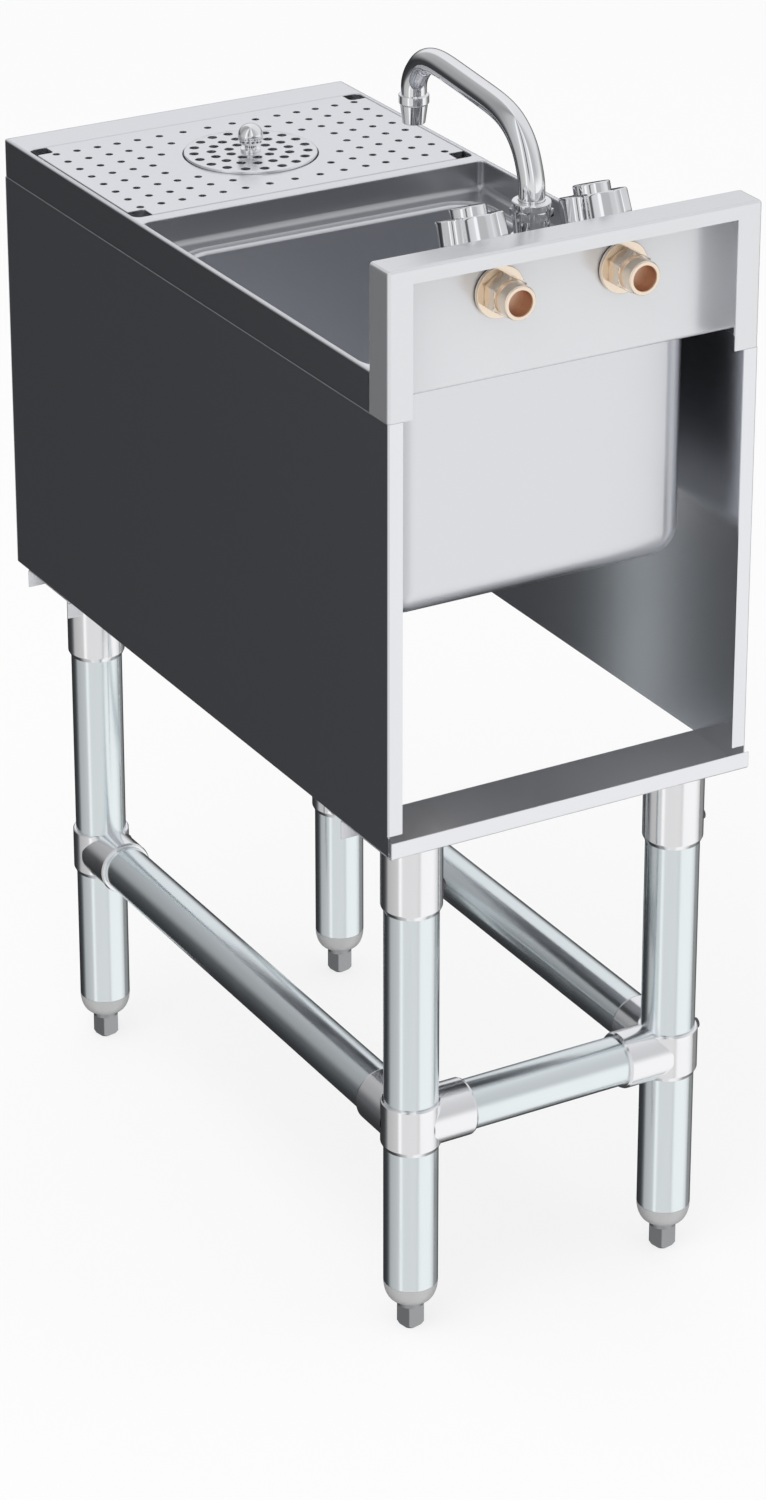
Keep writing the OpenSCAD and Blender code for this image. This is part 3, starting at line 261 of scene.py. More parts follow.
def joined(parts):
    """Parts as one: a part's point numbers start after those of the parts before it."""
    starts = np.cumsum([0] + [len(p) for p, _ in parts])
    return np.vstack([p for p, _ in parts]), [f + s for (_, faces), s in zip(parts, starts) for f in faces]


def skin(rings, around=True, along=False):
    """A grid of rings, ring k at row k, each point joined to the next of its ring and to the same point of
    the next ring. An open direction is closed by a face at each end."""
    index, quads = grid(rings, around, along)
    faces = [quads]
    if not along:
        faces += [index[:1, ::-1], index[-1:]]
    if not around:
        faces += [index[:, 0][None], index[::-1, -1][None]]
    return outward(*weld(rings.reshape(-1, 3), faces))


def bar(path, t, axis, low, high, ease=0.5, square=False):
    """A folded sheet: the section of its path is carried along an axis from low to high, and its cut edges
    are rounded by drawing the section in along a quarter circle."""
    a = np.radians(np.linspace(0, 90, 4))
    inset = ease * (1 - np.sin(a))
    place = ease * (1 - np.cos(a))
    inset, place = np.r_[inset, inset[::-1]], np.r_[low + place, (high - place)[::-1]]
    rings = np.stack([level(strip(path, t, i, square=square), z) for i, z in zip(inset, place)])
    return skin(rings[..., AXES[axis]])


def placed(part, at, axis="z"):
    """A closed part made about Z, turned onto an axis and moved."""
    return outward(part[0][:, AXES[axis]] + np.asarray(at, float), part[1])


def spin(profile, steps=64, closed=False, at=(0, 0, 0), axis="z"):
    """A surface of revolution: each (radius, height) of the profile is carried round the axis."""
    a = np.linspace(0, 2 * np.pi, steps, endpoint=False)
    r, z = np.asarray(profile, float).T
    return placed(skin(turned(r[:, None], a, z), along=closed), at, axis)


def lathe(outline, corner_steps, steps, closed=True, ends=False, **where):
    """A turned part whose outline is given as (radius, height, radius of the bend there)."""
    outline = np.array(outline, float)
    return spin(bend(outline[:, :2], outline[:, 2], corner_steps, ends), steps, closed, **where)


def drum(r, low, high, ease=0.4, bore=0.0, steps=64, **where):
    """A round post, or a ring where it has a bore, with eased edges."""
    outline = [(bore, low, ease), (r, low, ease), (r, high, ease), (bore, high, ease)]
    return lathe(outline, 4, steps, bool(bore), bool(bore), **where)


def prism(flats, low, high, ease, at=(0, 0, 0), axis="z"):
    """A hexagon bar whose ends are chamfered by a cone: the radius at angle a is half the distance across
    the flats over the cosine of the angle to the nearest flat, held under the chamfer's radius."""
    a = np.radians(np.arange(0, 360, 5.0))
    flat = flats / 2 / np.cos(np.radians((np.degrees(a) + 30) % 60 - 30))
    z = np.array([low, low, low + 0.6 * ease, low + 2 * ease, high - 2 * ease, high - 0.6 * ease, high, high])
    limit = flats / 2 * np.array([0, 0.98, 1.02, 1.16, 1.16, 1.02, 0.98, 0])
    return placed(skin(turned(np.minimum(flat[None], limit[:, None]), a, z)), at, axis)


def sweep(path, r, steps):
    """A tube along a path: the rings are spanned by the x axis and by the path's direction times it, so
    they are round on a path in the plane x = 0, and narrow where a path runs along x."""
    tangent = np.gradient(path, axis=0)
    tangent /= np.linalg.norm(tangent, axis=1)[:, None]
    side = np.array([1.0, 0, 0])
    up = np.cross(tangent, side)
    a = np.linspace(0, 2 * np.pi, steps, endpoint=False)[None, :, None]
    return skin(path[:, None] + r * (np.cos(a) * side + np.sin(a) * up[:, None]))


def pierced(edge, loops, keep):
    """A flat sheet with holes. edge is the outer rim as rings from its underside to its top; each loop is a
    hole as rings from the top to the underside. The flat faces are a constrained triangulation of the first
    and last rings, kept where keep says that a triangle's middle is on the sheet."""
    parts = [(rings.reshape(-1, 3), [grid(rings, True, False)[1]]) for rings in [edge] + loops]
    for top in (True, False):
        outlines = [edge[-1 if top else 0]] + [h[0 if top else -1] for h in loops]
        flat = np.vstack(outlines)
        ends = np.cumsum([0] + [len(o) for o in outlines])
        links = [np.c_[np.arange(a, b), np.r_[np.arange(a + 1, b), a]] for a, b in zip(ends, ends[1:])]
        v, _, f, *_ = delaunay_2d_cdt([Vector(p[:2]) for p in flat], np.vstack(links).tolist(), [], 0, 1e-6)
        v, f = np.array([p[:] for p in v]), np.array(f)
        f = f[keep(v[f].mean(1))]
        e = v[f]
        area = np.cross(e[:, 1] - e[:, 0], e[:, 2] - e[:, 0])
        parts.append((level(v, flat[0, 2]), [np.where((area > 0)[:, None] == top, f, f[:, ::-1])]))
    return weld(*joined(parts))


def in_box(c, x0, x1, y0, y1, r):
    """True where a point is inside a rectangle with round corners."""
    q = np.abs(c - [(x0 + x1) / 2, (y0 + y1) / 2]) - [(x1 - x0) / 2 - r, (y1 - y0) / 2 - r]
    return np.linalg.norm(np.maximum(q, 0), axis=1) + np.minimum(q.max(1), 0) < r


def in_holes(c, places, r):
    """True where a point is nearer than r to the middle of a hole."""
    return (np.linalg.norm(c[:, None] - places[None], axis=2) < r).any(1)


def shifted(part, x=0, y=0, z=0):
    return part[0] + [x, y, z], part[1]


def mirrored(part):
    """The same part on the other side of the plane x = 0, its faces turned to stay outward."""
    return part[0] * [-1, 1, 1], [f[:, ::-1] for f in part[1]]


# Pieces

def soft_normals(mesh, angle):
    """Each corner's normal is the sum of the normals of the faces round its point that lie within an angle of
    its own face, each times its area, so that flats stay flat and the folds between them shade smoothly."""
    count = len(mesh.loops)
    vertex = np.zeros(count, np.int64)
    mesh.loops.foreach_get("vertex_index", vertex)
    total = np.zeros(len(mesh.polygons), np.int64)
    mesh.polygons.foreach_get("loop_total", total)
    face = np.repeat(np.arange(len(total)), total)
    normal, area = np.zeros(len(total) * 3), np.zeros(len(total))
    mesh.polygons.foreach_get("normal", normal)
    mesh.polygons.foreach_get("area", area)
    normal = normal.reshape(-1, 3)
    order = np.argsort(vertex, kind="stable")
    many = np.bincount(vertex, minlength=len(mesh.vertices))
    first = np.r_[0, np.cumsum(many)][:-1]
    span = many[vertex[order]]
    mine = np.repeat(order, span)
    inside = np.arange(len(mine)) - np.repeat(np.cumsum(span) - span, span)
    other = order[np.repeat(first[vertex[order]], span) + inside]
    near = (normal[face[mine]] * normal[face[other]]).sum(1) > math.cos(math.radians(angle))
    weight = normal[face[other]] * (area[face[other]] * near)[:, None]
    soft = np.stack([np.bincount(mine, weight[:, k], count) for k in range(3)], -1)
    length = np.linalg.norm(soft, axis=1)[:, None]
    soft = np.where(length > 0, soft / np.maximum(length, 1e-20), normal[face])
    mesh.normals_split_custom_set(soft.tolist())


def piece(name, parts, material, node, body="station", angle=38):
    """Makes one object of the parts, in metres, in place of a node of the CAD model, with a material for
    each part or one for all."""
    parts = parts if isinstance(parts, list) else [parts]
    materials = material if isinstance(material, list) else [material] * len(parts)
    palette = list(dict.fromkeys(materials))
    points, faces = joined(parts)
    marks = [palette.index(m) for (_, own), m in zip(parts, materials) for _ in own]
    corners = np.concatenate([f.reshape(-1) for f in faces])
    counts = np.concatenate([np.full(len(f), f.shape[1]) for f in faces])
    slots = np.concatenate([np.full(len(f), mark) for f, mark in zip(faces, marks)])
    mesh = bpy.data.meshes.new(name)
    mesh.vertices.add(len(points))
    mesh.vertices.foreach_set("co", (points * MM).astype(np.float32).reshape(-1))
    mesh.loops.add(len(corners))
    mesh.loops.foreach_set("vertex_index", corners.astype(np.int32))
    mesh.polygons.add(len(counts))
    mesh.polygons.foreach_set("loop_start", (np.cumsum(counts) - counts).astype(np.int32))
    mesh.polygons.foreach_set("loop_total", counts.astype(np.int32))
    for m in palette:
        mesh.materials.append(bpy.data.materials["station " + m])
    mesh.polygons.foreach_set("material_index", slots.astype(np.int32))
    mesh.update(calc_edges=True)
    mesh.validate()
    mesh.polygons.foreach_set("use_smooth", np.ones(len(mesh.polygons), bool))
    soft_normals(mesh, angle)
    obj = bpy.data.objects.new(name, mesh)
    bpy.context.scene.collection.objects.link(obj)
    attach(obj, body)
    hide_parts(node)
    return obj


# Materials

class Nodes:
    """A node tree, with short ways to add nodes and links. A kind is a node's type after ShaderNode."""

    def __init__(self, tree):
        self.tree = tree

    def add(self, kind, inputs=(), **values):
        node = self.tree.nodes.new("ShaderNode" + kind)
        for key, value in values.items():
            setattr(node, key, value)
        for key, value in dict(inputs).items():
            self.set(node.inputs[key], value)
        return node

    def out(self, kind, inputs=(), **values):
        """The first output of a new node."""
        return self.add(kind, inputs, **values).outputs[0]

    def set(self, socket, value):
        if isinstance(value, bpy.types.NodeSocket):
            self.tree.links.new(value, socket)
        else:
            socket.default_value = value

    def place(self):
        return self.add("TexCoord").outputs["Object"]

    def math(self, operation, *values):
        return self.out("Math", enumerate(values), operation=operation)

    def ramp(self, factor, stops, interpolation="LINEAR"):
        node = self.add("ValToRGB", {"Fac": factor})
        elements = node.color_ramp.elements
        node.color_ramp.interpolation = interpolation
        for element, (place, value) in zip(elements, (stops[0], stops[-1])):
            element.position, element.color = place, grey(value)
        for place, value in stops[1:-1]:
            elements.new(place).color = grey(value)
        return node.outputs["Color"]


def grey(value):
    return (value, value, value, 1) if np.isscalar(value) else (*value, 1)


def group(name, inputs, outputs):
    """A new node group. Its inputs are (name, kind, default) and its outputs (name, kind)."""
    tree = bpy.data.node_groups.new(name, "ShaderNodeTree")
    for label, kind, value in inputs:
        socket = tree.interface.new_socket(name=label, in_out="INPUT", socket_type="NodeSocket" + kind)
        socket.default_value = value
    for label, kind in outputs:
        tree.interface.new_socket(name=label, in_out="OUTPUT", socket_type="NodeSocket" + kind)
    return Nodes(tree), tree.nodes.new("NodeGroupInput").outputs, tree.nodes.new("NodeGroupOutput").inputs


def satin_group():
    """Fine grain of a satin metal: noise drawn out along the grain by scaling the coordinates, and a slow
    change of tone over the sheet."""
    n, given, result = group("Satin grain", (
        ("Vector", "Vector", (0, 0, 0)), ("Grain scale", "Vector", (3000, 60, 3000)),
        ("Colour", "Color", (0.7, 0.7, 0.7, 1)), ("Roughness", "Float", 0.3), ("Strength", "Float", 0.1)),
        (("Colour", "Color"), ("Roughness", "Float"), ("Height", "Float")))
    drawn = n.out("VectorMath", {0: given["Vector"], 1: given["Grain scale"]}, operation="MULTIPLY")
    grain = n.out("TexNoise", {"Vector": drawn, "Scale": 1.0, "Detail": 3.0, "Roughness": 0.6})
    slow = n.out("TexNoise", {"Vector": given["Vector"], "Scale": 5.0, "Detail": 2.0})
    fine = n.math("MULTIPLY", n.math("SUBTRACT", grain, 0.5), given["Strength"])
    drift = n.math("MULTIPLY", n.math("SUBTRACT", slow, 0.5), n.math("MULTIPLY", given["Strength"], 0.5))
    tone = n.math("ADD", n.math("ADD", 1.0, fine), drift)
    rough = n.math("MULTIPLY", n.math("ADD", fine, drift), 0.6)
    n.set(result["Colour"], n.out("VectorMath", {0: given["Colour"], "Scale": tone}, operation="SCALE"))
    n.set(result["Roughness"], n.math("ADD", given["Roughness"], rough))
    n.set(result["Height"], grain)


def wear_group():
    """Faint smudges and handling marks: broad noise through a narrow step, as a mask."""
    n, given, result = group("Handling marks", (
        ("Vector", "Vector", (0, 0, 0)), ("Scale", "Float", 12.0), ("Amount", "Float", 0.05)),
        (("Mask", "Float"),))
    noise = n.out("TexNoise", {"Vector": given["Vector"], "Scale": given["Scale"], "Detail": 5.0,
                               "Distortion": 0.6})
    step = n.out("MapRange", {"Value": noise, "From Min": 0.5, "From Max": 0.68},
                 interpolation_type="SMOOTHSTEP")
    n.set(result["Mask"], n.math("MULTIPLY", step, given["Amount"]))


def metal(name, colour, roughness, grain, strength, bump, marks=0.04, metallic=1.0):
    """A metal or plain finish from the shared grain and handling marks, on Object coordinates."""
    material = bpy.data.materials.new("station " + name)
    material.use_nodes = True
    n = Nodes(material.node_tree)
    shader = n.tree.nodes["Principled BSDF"]
    place = n.place()
    satin = n.add("Group", {"Vector": place, "Grain scale": grain, "Colour": (*colour, 1),
                            "Roughness": roughness, "Strength": strength},
                  node_tree=bpy.data.node_groups["Satin grain"]).outputs
    marked = n.out("Group", {"Vector": place, "Scale": 14.0, "Amount": marks},
                   node_tree=bpy.data.node_groups["Handling marks"])
    n.set(shader.inputs["Base Color"], satin["Colour"])
    n.set(shader.inputs["Roughness"], n.math("ADD", satin["Roughness"], marked))
    n.set(shader.inputs["Metallic"], metallic)
    if bump:
        relief = n.out("Bump", {"Strength": bump, "Distance": 0.0002, "Height": satin["Height"]})
        n.set(shader.inputs["Normal"], relief)


class STATION_OT_finishes(Operator):
    """Makes the metals, rubber and brass that the pieces use"""
    bl_idname = "station.finishes"
    bl_label = "Finishes"

    def execute(self, context):
        c = context.scene.station_colours
        # the skirt's colour is the panel's darkened by 0.86: painted shade on the top's folded-down side
        # the well's colour is the bowl's darkened by 0.68: painted shade down in the well, on its walls and
        # ledge
        skirt, ledge = [0.86 * v for v in c.panel], [0.68 * v for v in c.bowl]
        across_x, along_y, even, close = (60, 3200, 3200), (3200, 60, 3200), (900,) * 3, (1500,) * 3
        satin_group()
        wear_group()
        # name, colour, roughness, grain, the grain's strength, bump, handling marks and metallic
        for row in (("top sheet", c.sheet, 0.25, across_x, 0.04, 0.012, 0.01),
                    ("rail sheet", c.sheet, 0.24, across_x, 0.02, 0.006, 0.0, 0.8),
                    ("upright sheet", c.wall, 0.24, across_x, 0.02, 0.006, 0.0),
                    ("panel sheet", c.panel, 0.2, along_y, 0.03, 0.01, 0.0),
                    ("painted shade skirt", skirt, 0.22, across_x, 0.03, 0.01, 0.0),
                    ("bowl sheet", c.bowl, 0.32, even, 0.02, 0.01, 0.01),
                    ("ledge sheet", ledge, 0.32, even, 0.02, 0.01, 0.01),
                    ("upright tube", c.tube, 0.2, (1400, 1400, 30), 0.06, 0.01),
                    ("level tube", c.tube, 0.2, (1400, 30, 1400), 0.06, 0.01),
                    ("cross tube", c.tube, 0.2, (30, 1400, 1400), 0.06, 0.01),
                    ("fitting", c.fitting, 0.17, (700,) * 3, 0.04, 0.015),
                    ("chrome", c.chrome, 0.045, (500,) * 3, 0.02, 0.0, 0.02),
                    ("brass", c.brass, 0.22, even, 0.06, 0.03),
                    ("brass bore in painted shade", c.bore_shade, 0.4, even, 0.1, 0.02),
                    ("foot", c.foot, 0.34, even, 0.12, 0.05),
                    ("insert", c.insert, 0.5, close, 0.06, 0.04, 0.04, 0.55),
                    ("screw", (0.12, 0.12, 0.13), 0.4, even, 0.15, 0.02),
                    ("rubber", (0.03, 0.03, 0.032), 0.75, close, 0.3, 0.1, 0.04, 0.0)):
            metal(*row)
        self.hood_sheet(bpy.data.materials["station upright sheet"])
        by_slot = {"sheet": "top sheet", "panel": "panel sheet", "tube": "upright tube", "spring": "chrome"}
        for part in frame["record"]["subparts"]:
            node, slot = frame["nodes"].get(part["node"]), part["material_slot"]
            if node:
                node.data.materials.clear()
                node.data.materials.append(bpy.data.materials["station " + by_slot.get(slot, slot)])
        return {"FINISHED"}

    def hood_sheet(self, material):
        """The backsplash's sheet is bright metal on its top and outer sides, and duller on its wall and
        inside."""
        n = Nodes(material.node_tree)
        at = n.add("SeparateXYZ", {0: n.place()}).outputs
        outside = n.math("MAXIMUM", n.math("GREATER_THAN", n.math("ABSOLUTE", at["X"]), 0.1518),
                         n.math("GREATER_THAN", at["Z"], 0.8604))
        n.set(n.tree.nodes["Principled BSDF"].inputs["Metallic"], n.math("MULTIPLY_ADD", outside, 0.34, 0.5))


# The stage: floor, light and camera

# Brightness of the studio by the direction in degrees round the object: in STUDIO, of its walls, as it
# should show in a mirror, from 0 to 255, and in CEILING, of its ceiling, from 0 to 1
STUDIO = ((-180, 140), (-165, 130), (-140, 60), (-123, 50), (-75, 52), (-55, 60), (-46, 95), (-32, 172),
          (10, 186), (15, 240), (21, 240), (27, 208), (80, 210), (90, 198), (97, 234), (145, 234),
          (168, 205), (175, 95), (180, 140))
CEILING = ((-180, 0.76), (-95, 0.83), (-80, 0.45), (-40, 0.32), (-15, 0.5), (12, 0.62), (16, 0.97),
           (24, 0.97), (30, 0.62), (40, 0.6), (43, 0.12), (48, 0.12), (52, 0.66), (70, 0.72), (74, 0.98),
           (82, 0.98), (86, 0.5), (112, 0.5), (120, 0.62), (160, 0.76), (180, 0.76))
# The camera's place in metres and direction in degrees, and its focal length and the picture's height in
# pixels
EYE, AZIMUTH, ELEVATION, FOCAL, HEIGHT = (1.6195, 2.8624, 1.9343), 150.26, 22.17, 4643.0, 1500


class STATION_OT_stage(Operator):
    """Sets the floor, the soft studio light and the camera"""
    bl_idname = "station.stage"
    bl_label = "Stage"

    def execute(self, context):
        scene = context.scene
        scene.view_settings.view_transform = "Standard"
        self.floor(scene)
        self.world(scene)
        lamp = bpy.data.lights.new("key", "AREA")
        lamp.size, lamp.energy = 2.4, 26.0
        key = bpy.data.objects.new("key", lamp)
        key.location = (1.6, 1.0, 3.2)
        key.rotation_euler = (Vector((0, 0, 0.5)) - key.location).to_track_quat("-Z", "Y").to_euler()
        key.visible_glossy = False
        camera = bpy.data.cameras.new("view")
        camera.sensor_width = 36.0
        camera.lens = FOCAL * camera.sensor_width / HEIGHT
        camera.shift_y = -0.2
        camera.clip_start, camera.clip_end = 0.1, 60
        eye = bpy.data.objects.new("view", camera)
        eye.location = EYE
        turn, fall = math.radians(AZIMUTH), math.radians(ELEVATION)
        aim = Vector((-math.sin(turn) * math.cos(fall), math.cos(turn) * math.cos(fall), -math.sin(fall)))
        eye.rotation_euler = aim.to_track_quat("-Z", "Y").to_euler()
        for obj in (key, eye):
            scene.collection.objects.link(obj)
        scene.camera = eye
        return {"FINISHED"}

    def floor(self, scene):
        """A wide pale floor that takes the object's shadow and is brightened only to the eye."""
        material = bpy.data.materials.new("studio floor")
        material.use_nodes = True
        n = Nodes(material.node_tree)
        noise = n.out("TexNoise", {"Scale": 3.0, "Vector": n.place()})
        shader = n.tree.nodes["Principled BSDF"]
        n.set(shader.inputs["Base Color"], n.ramp(noise, ((0.3, 0.985), (0.7, 0.99))))
        n.set(shader.inputs["Roughness"], 1.0)
        n.set(shader.inputs["Specular IOR Level"], 0.0)
        bright = n.out("Emission", {"Color": (1, 1, 1, 1), "Strength": 1.0})
        share = n.math("MULTIPLY", n.add("LightPath").outputs["Is Camera Ray"], 0.72)
        both = n.out("MixShader", {0: share, 1: shader.outputs[0], 2: bright})
        n.set(n.tree.nodes["Material Output"].inputs["Surface"], both)
        mesh = bpy.data.meshes.new("floor")
        r = 30.0
        mesh.from_pydata([(-r, -r, 0), (r, -r, 0), (r, r, 0), (-r, r, 0)], [], [(0, 1, 2, 3)])
        mesh.materials.append(material)
        plane = bpy.data.objects.new("floor", mesh)
        scene.collection.objects.link(plane)
        plane.visible_glossy = False
        plane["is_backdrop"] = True

    def world(self, scene):
        """White to the eye and through glass, plain on matt surfaces, and a soft studio in polished metal:
        its brightness changes with the direction round the object, and rises to a light ceiling."""
        world = bpy.data.worlds.new("studio")
        scene.world = world
        world.use_nodes = True
        n = Nodes(world.node_tree)
        n.tree.nodes.clear()
        way = n.add("SeparateXYZ", {0: n.add("TexCoord").outputs["Generated"]}).outputs
        turn = n.math("ARCTAN2", way["Y"], way["X"])
        part = n.out("MapRange", {"Value": turn, "From Min": -math.pi, "From Max": math.pi})
        cool, plain = np.array([0.97, 0.99, 1.06]), np.ones(3)
        low = n.ramp(part, [((a + 180) / 360, tuple((v / 255) ** 2.2 / 0.88 * (cool if v < 100 else plain)))
                            for a, v in STUDIO], "EASE")
        high = n.ramp(part, [((a + 180) / 360, (0.985 * v, 0.99 * v, 1.01 * v)) for a, v in CEILING], "EASE")
        rise = n.out("MapRange", {"Value": way["Z"], "From Min": -0.12, "From Max": 0.3},
                     interpolation_type="SMOOTHSTEP")
        room = n.add("Mix", {0: rise, 6: low, 7: high}, data_type="RGBA").outputs[2]
        path = n.add("LightPath").outputs
        matt, glossy, white = (n.out("Background", {"Color": colour, "Strength": strength})
                               for colour, strength in ((grey(1), 0.85), (room, 1.0), (grey(1), 1.0)))
        first = n.out("MixShader", {0: path["Is Glossy Ray"], 1: matt, 2: glossy})
        seen = n.math("MAXIMUM", path["Is Camera Ray"], path["Is Transmission Ray"])
        n.add("OutputWorld", {"Surface": n.out("MixShader", {0: seen, 1: first, 2: white})})


# The body: top, splash, well, bowl and panels

# Half the width, and the y of the front, of the splash's back and of its front face
HALF, FRONT, REAR, WALL = 152.4, -307.9, 301.7, 274.7
# Heights of the rim, the splash, the skirt's lower edge, the panels' lower edge, the ledge with the tray's
# floor, and the foot of the rolled rims
RIM, TOP, SKIRT, BASE, LEDGE, MEET = 781.0, 861.0, 750.0, 418.5, 757.0, 779.4
# The openings: half the width of the tray and the well, and of the bowl, their first and last y, and the
# radii of their corners
OPEN, TRAY, WELL, BOWL, BOWL_Y = 148.0, (-273.1, -88.1), (-76.1, 274.7), 127.5, (-58.1, 256.9)
TRAY_CORNER, FRONT_CORNER, REAR_CORNER, BOWL_CORNER = 6, 5, 22, 24
WELL_CORNERS = (FRONT_CORNER, REAR_CORNER, REAR_CORNER, FRONT_CORNER)


class STATION_OT_top(Operator):
    """The top with its landing, bridge and rims, and the skirt folded down round it"""
    bl_idname = "station.top"
    bl_label = "Top and skirt"

    def execute(self, context):
        t, r, roll = sizes(context, "sheet", "bend", "rim_roll")
        h, seam = t / 2, WALL + 0.6

        def skirt_plan(d):
            return bend([(HALF - d, seam), (HALF - d, FRONT + d), (-HALF + d, FRONT + d), (-HALF + d, seam)],
                        max(3 - d, 0.05), 8)

        path = bend([(h, SKIRT + h), (h, RIM - h), (r + 0.1, RIM - h)], r - h, 8)
        parts = [skin(levels(strip(path, t), skirt_plan), around=False, along=True)]

        def opening(y0, y1, corners, lap=0.0):
            def plan(d):
                d = d - lap
                p = round_box(-OPEN - d, OPEN + d, y0 - d, y1 + d, np.maximum(np.array(corners) + d, 0.05))
                p[:, 1] = np.minimum(p[:, 1], seam)
                return p
            return plan

        tray, well = opening(*TRAY, (TRAY_CORNER,) * 4, 0.06), opening(*WELL, WELL_CORNERS)
        path = bend([(roll + 0.05, RIM - h), (h, RIM - h), (h, MEET)], roll - h + 0.3, 6)
        parts += [skin(levels(strip(path, t, square=True), plan), along=True) for plan in (tray, well)]

        def on_sheet(c):
            wide, big = OPEN + roll, REAR_CORNER
            hollow = in_box(c, -wide, wide, TRAY[0] - roll, TRAY[1] + roll, TRAY_CORNER + roll)
            sink = in_box(c, -wide, wide, WELL[0] - roll, 400, FRONT_CORNER + roll)
            x, y = np.abs(c[:, 0]) - OPEN + big, c[:, 1] - WALL + big
            corner = (x > 0) & (y > 0) & (np.hypot(x, y) > big + roll)
            return in_box(c, -HALF + r, HALF - r, FRONT + r, WALL, 0.01) & ~hollow & (~sink | corner)

        edge = round_box(-HALF + r, HALF - r, FRONT + r, WALL, (0.6, 0.02, 0.02, 0.6))
        mouth = well(roll)
        mouths = [upright(p, RIM, RIM - t) for p in (tray(roll), mouth[mouth[:, 1] < WALL])]
        parts.append(pierced(upright(edge, RIM - t, RIM), mouths, on_sheet))
        # the skirt is coloured a darker copy of the sheet: painted shade on the folded side
        piece("top", parts, ["painted shade skirt"] + ["top sheet"] * (len(parts) - 1), "deck")
        return {"FINISHED"}


class STATION_OT_splash(Operator):
    """The backsplash: its wall, top, sides, rear lip and upright flanges, open at the back"""
    bl_idname = "station.splash"
    bl_label = "Backsplash"

    def execute(self, context):
        t, r = sizes(context, "sheet", "bend")
        h, flange, lip = t / 2, 20, 12
        # the section as (inset, y), with its flange at the sides and its lip at the top
        side, over = (strip(bend([(r + 0.2, WALL + h), (h, WALL + h), (h, REAR - h), (reach - h, REAR - h)],
                                 r - h, 8), t) for reach in (flange, lip))

        def hood(ds, dt, y):
            p = bend([(HALF - ds, RIM), (HALF - ds, TOP - dt), (-HALF + ds, TOP - dt), (-HALF + ds, RIM)],
                     max(3 - dt, 0.05), 7)
            # below the rim the front bend is drawn out to a corner, to meet the skirt's end
            corner = ds != 0 and ds < r + 0.3 and y < WALL + r + 0.1
            x, front = (HALF, WALL) if corner else (HALF - ds, y)
            low = np.array([[x, front, SKIRT], [x, front, RIM]])
            return np.vstack([low, level(p, y)[:, AXES["y"]], low[::-1] * [-1, 1, 1]])

        rings = np.stack([hood(a[0], b[0], a[1]) for a, b in zip(side, over)])
        parts = [skin(rings, around=False, along=True)]
        x, back, low = HALF - r, WALL + t + 0.8, LEDGE - t
        wall = np.array([(-x, MEET), (x, MEET), (x, TOP - r), (-x, TOP - r)])
        parts.append(skin(upright(wall, WALL, WALL + t - 0.1)[..., AXES["y"]]))
        apron = bend([(back - h, TOP - t - 0.2), (back - h, low + h), (back - 9, low + h)], 4 - h, 10)
        parts.append(bar(apron, t, "x", -HALF + t + 0.1, HALF - t - 0.1, 0.02, True))
        piece("backsplash_sheet", parts, "upright sheet", "backsplash")
        return {"FINISHED"}


class STATION_OT_sink(Operator):
    """The recessed well with its stepped ledge, and the bowl"""
    bl_idname = "station.sink"
    bl_label = "Well and bowl"

    def execute(self, context):
        t, fillet, bead = sizes(context, "sheet", "well_fillet", "bead")
        h = t / 2
        ledge, lip, lip_in, floor = LEDGE - h, LEDGE - h - bead, 4.6, 575.0

        def walls(d):
            corners = np.maximum(np.array(WELL_CORNERS) - d, 0.6)
            return round_box(-OPEN + d, OPEN - d, WELL[0] + d, WELL[1] - d, corners)

        def mouth(e):
            return round_box(-BOWL - e, BOWL + e, BOWL_Y[0] - e, BOWL_Y[1] + e, max(BOWL_CORNER + e, 0.5))

        # the section runs from the wall's top down, over the ledge to the step, and back underneath
        outer = bend([(-h, MEET), (-h, ledge), (fillet + 4, ledge)], fillet + h, 7)
        outer[-1, 0] = 8.4
        inner = bend([(9, ledge), (6.4, ledge), (5.4, lip), (lip_in, lip)], 0.9, 4)
        off_out, off_in = across(outer) * h, across(inner) * h
        upper = [levels(outer + off_out, walls), levels(inner - off_in, mouth)]
        under = [levels((inner + off_in)[::-1], mouth), levels((outer - off_out)[::-1], walls)]
        # the well is coloured a darker copy of the bowl's sheet: painted shade in the recess
        piece("well", skin(np.vstack(upper + under), along=True), "ledge sheet", "sink_well")

        # past the foot of its walls, from -24 to -52, the bowl's plan shrinks to a round of radius 34
        foot, end, drain = -24.0, -52.0, 34
        centre = np.array([0, sum(BOWL_Y) / 2])

        def plan(d):
            if -d > foot:
                return mouth(-d)
            ray = mouth(foot) - centre
            w = min((foot + d) / (foot - end), 1)
            return centre + ray * (1 - w) + w * drain * ray / np.linalg.norm(ray, axis=1)[:, None]

        path = bend([(lip_in, lip), (-h, lip), (-h, floor - h), (end, floor - h - 0.6)],
                    [0, 2.6, 24.6, 0], 10)
        path[:, 1] = np.where(path[:, 0] < foot, floor - h, path[:, 1])
        bowl = skin(levels(strip(-path * [1, -1], t, square=True), plan), along=True)
        piece("bowl", bowl, "bowl sheet", "sink_bowl")
        return {"FINISHED"}


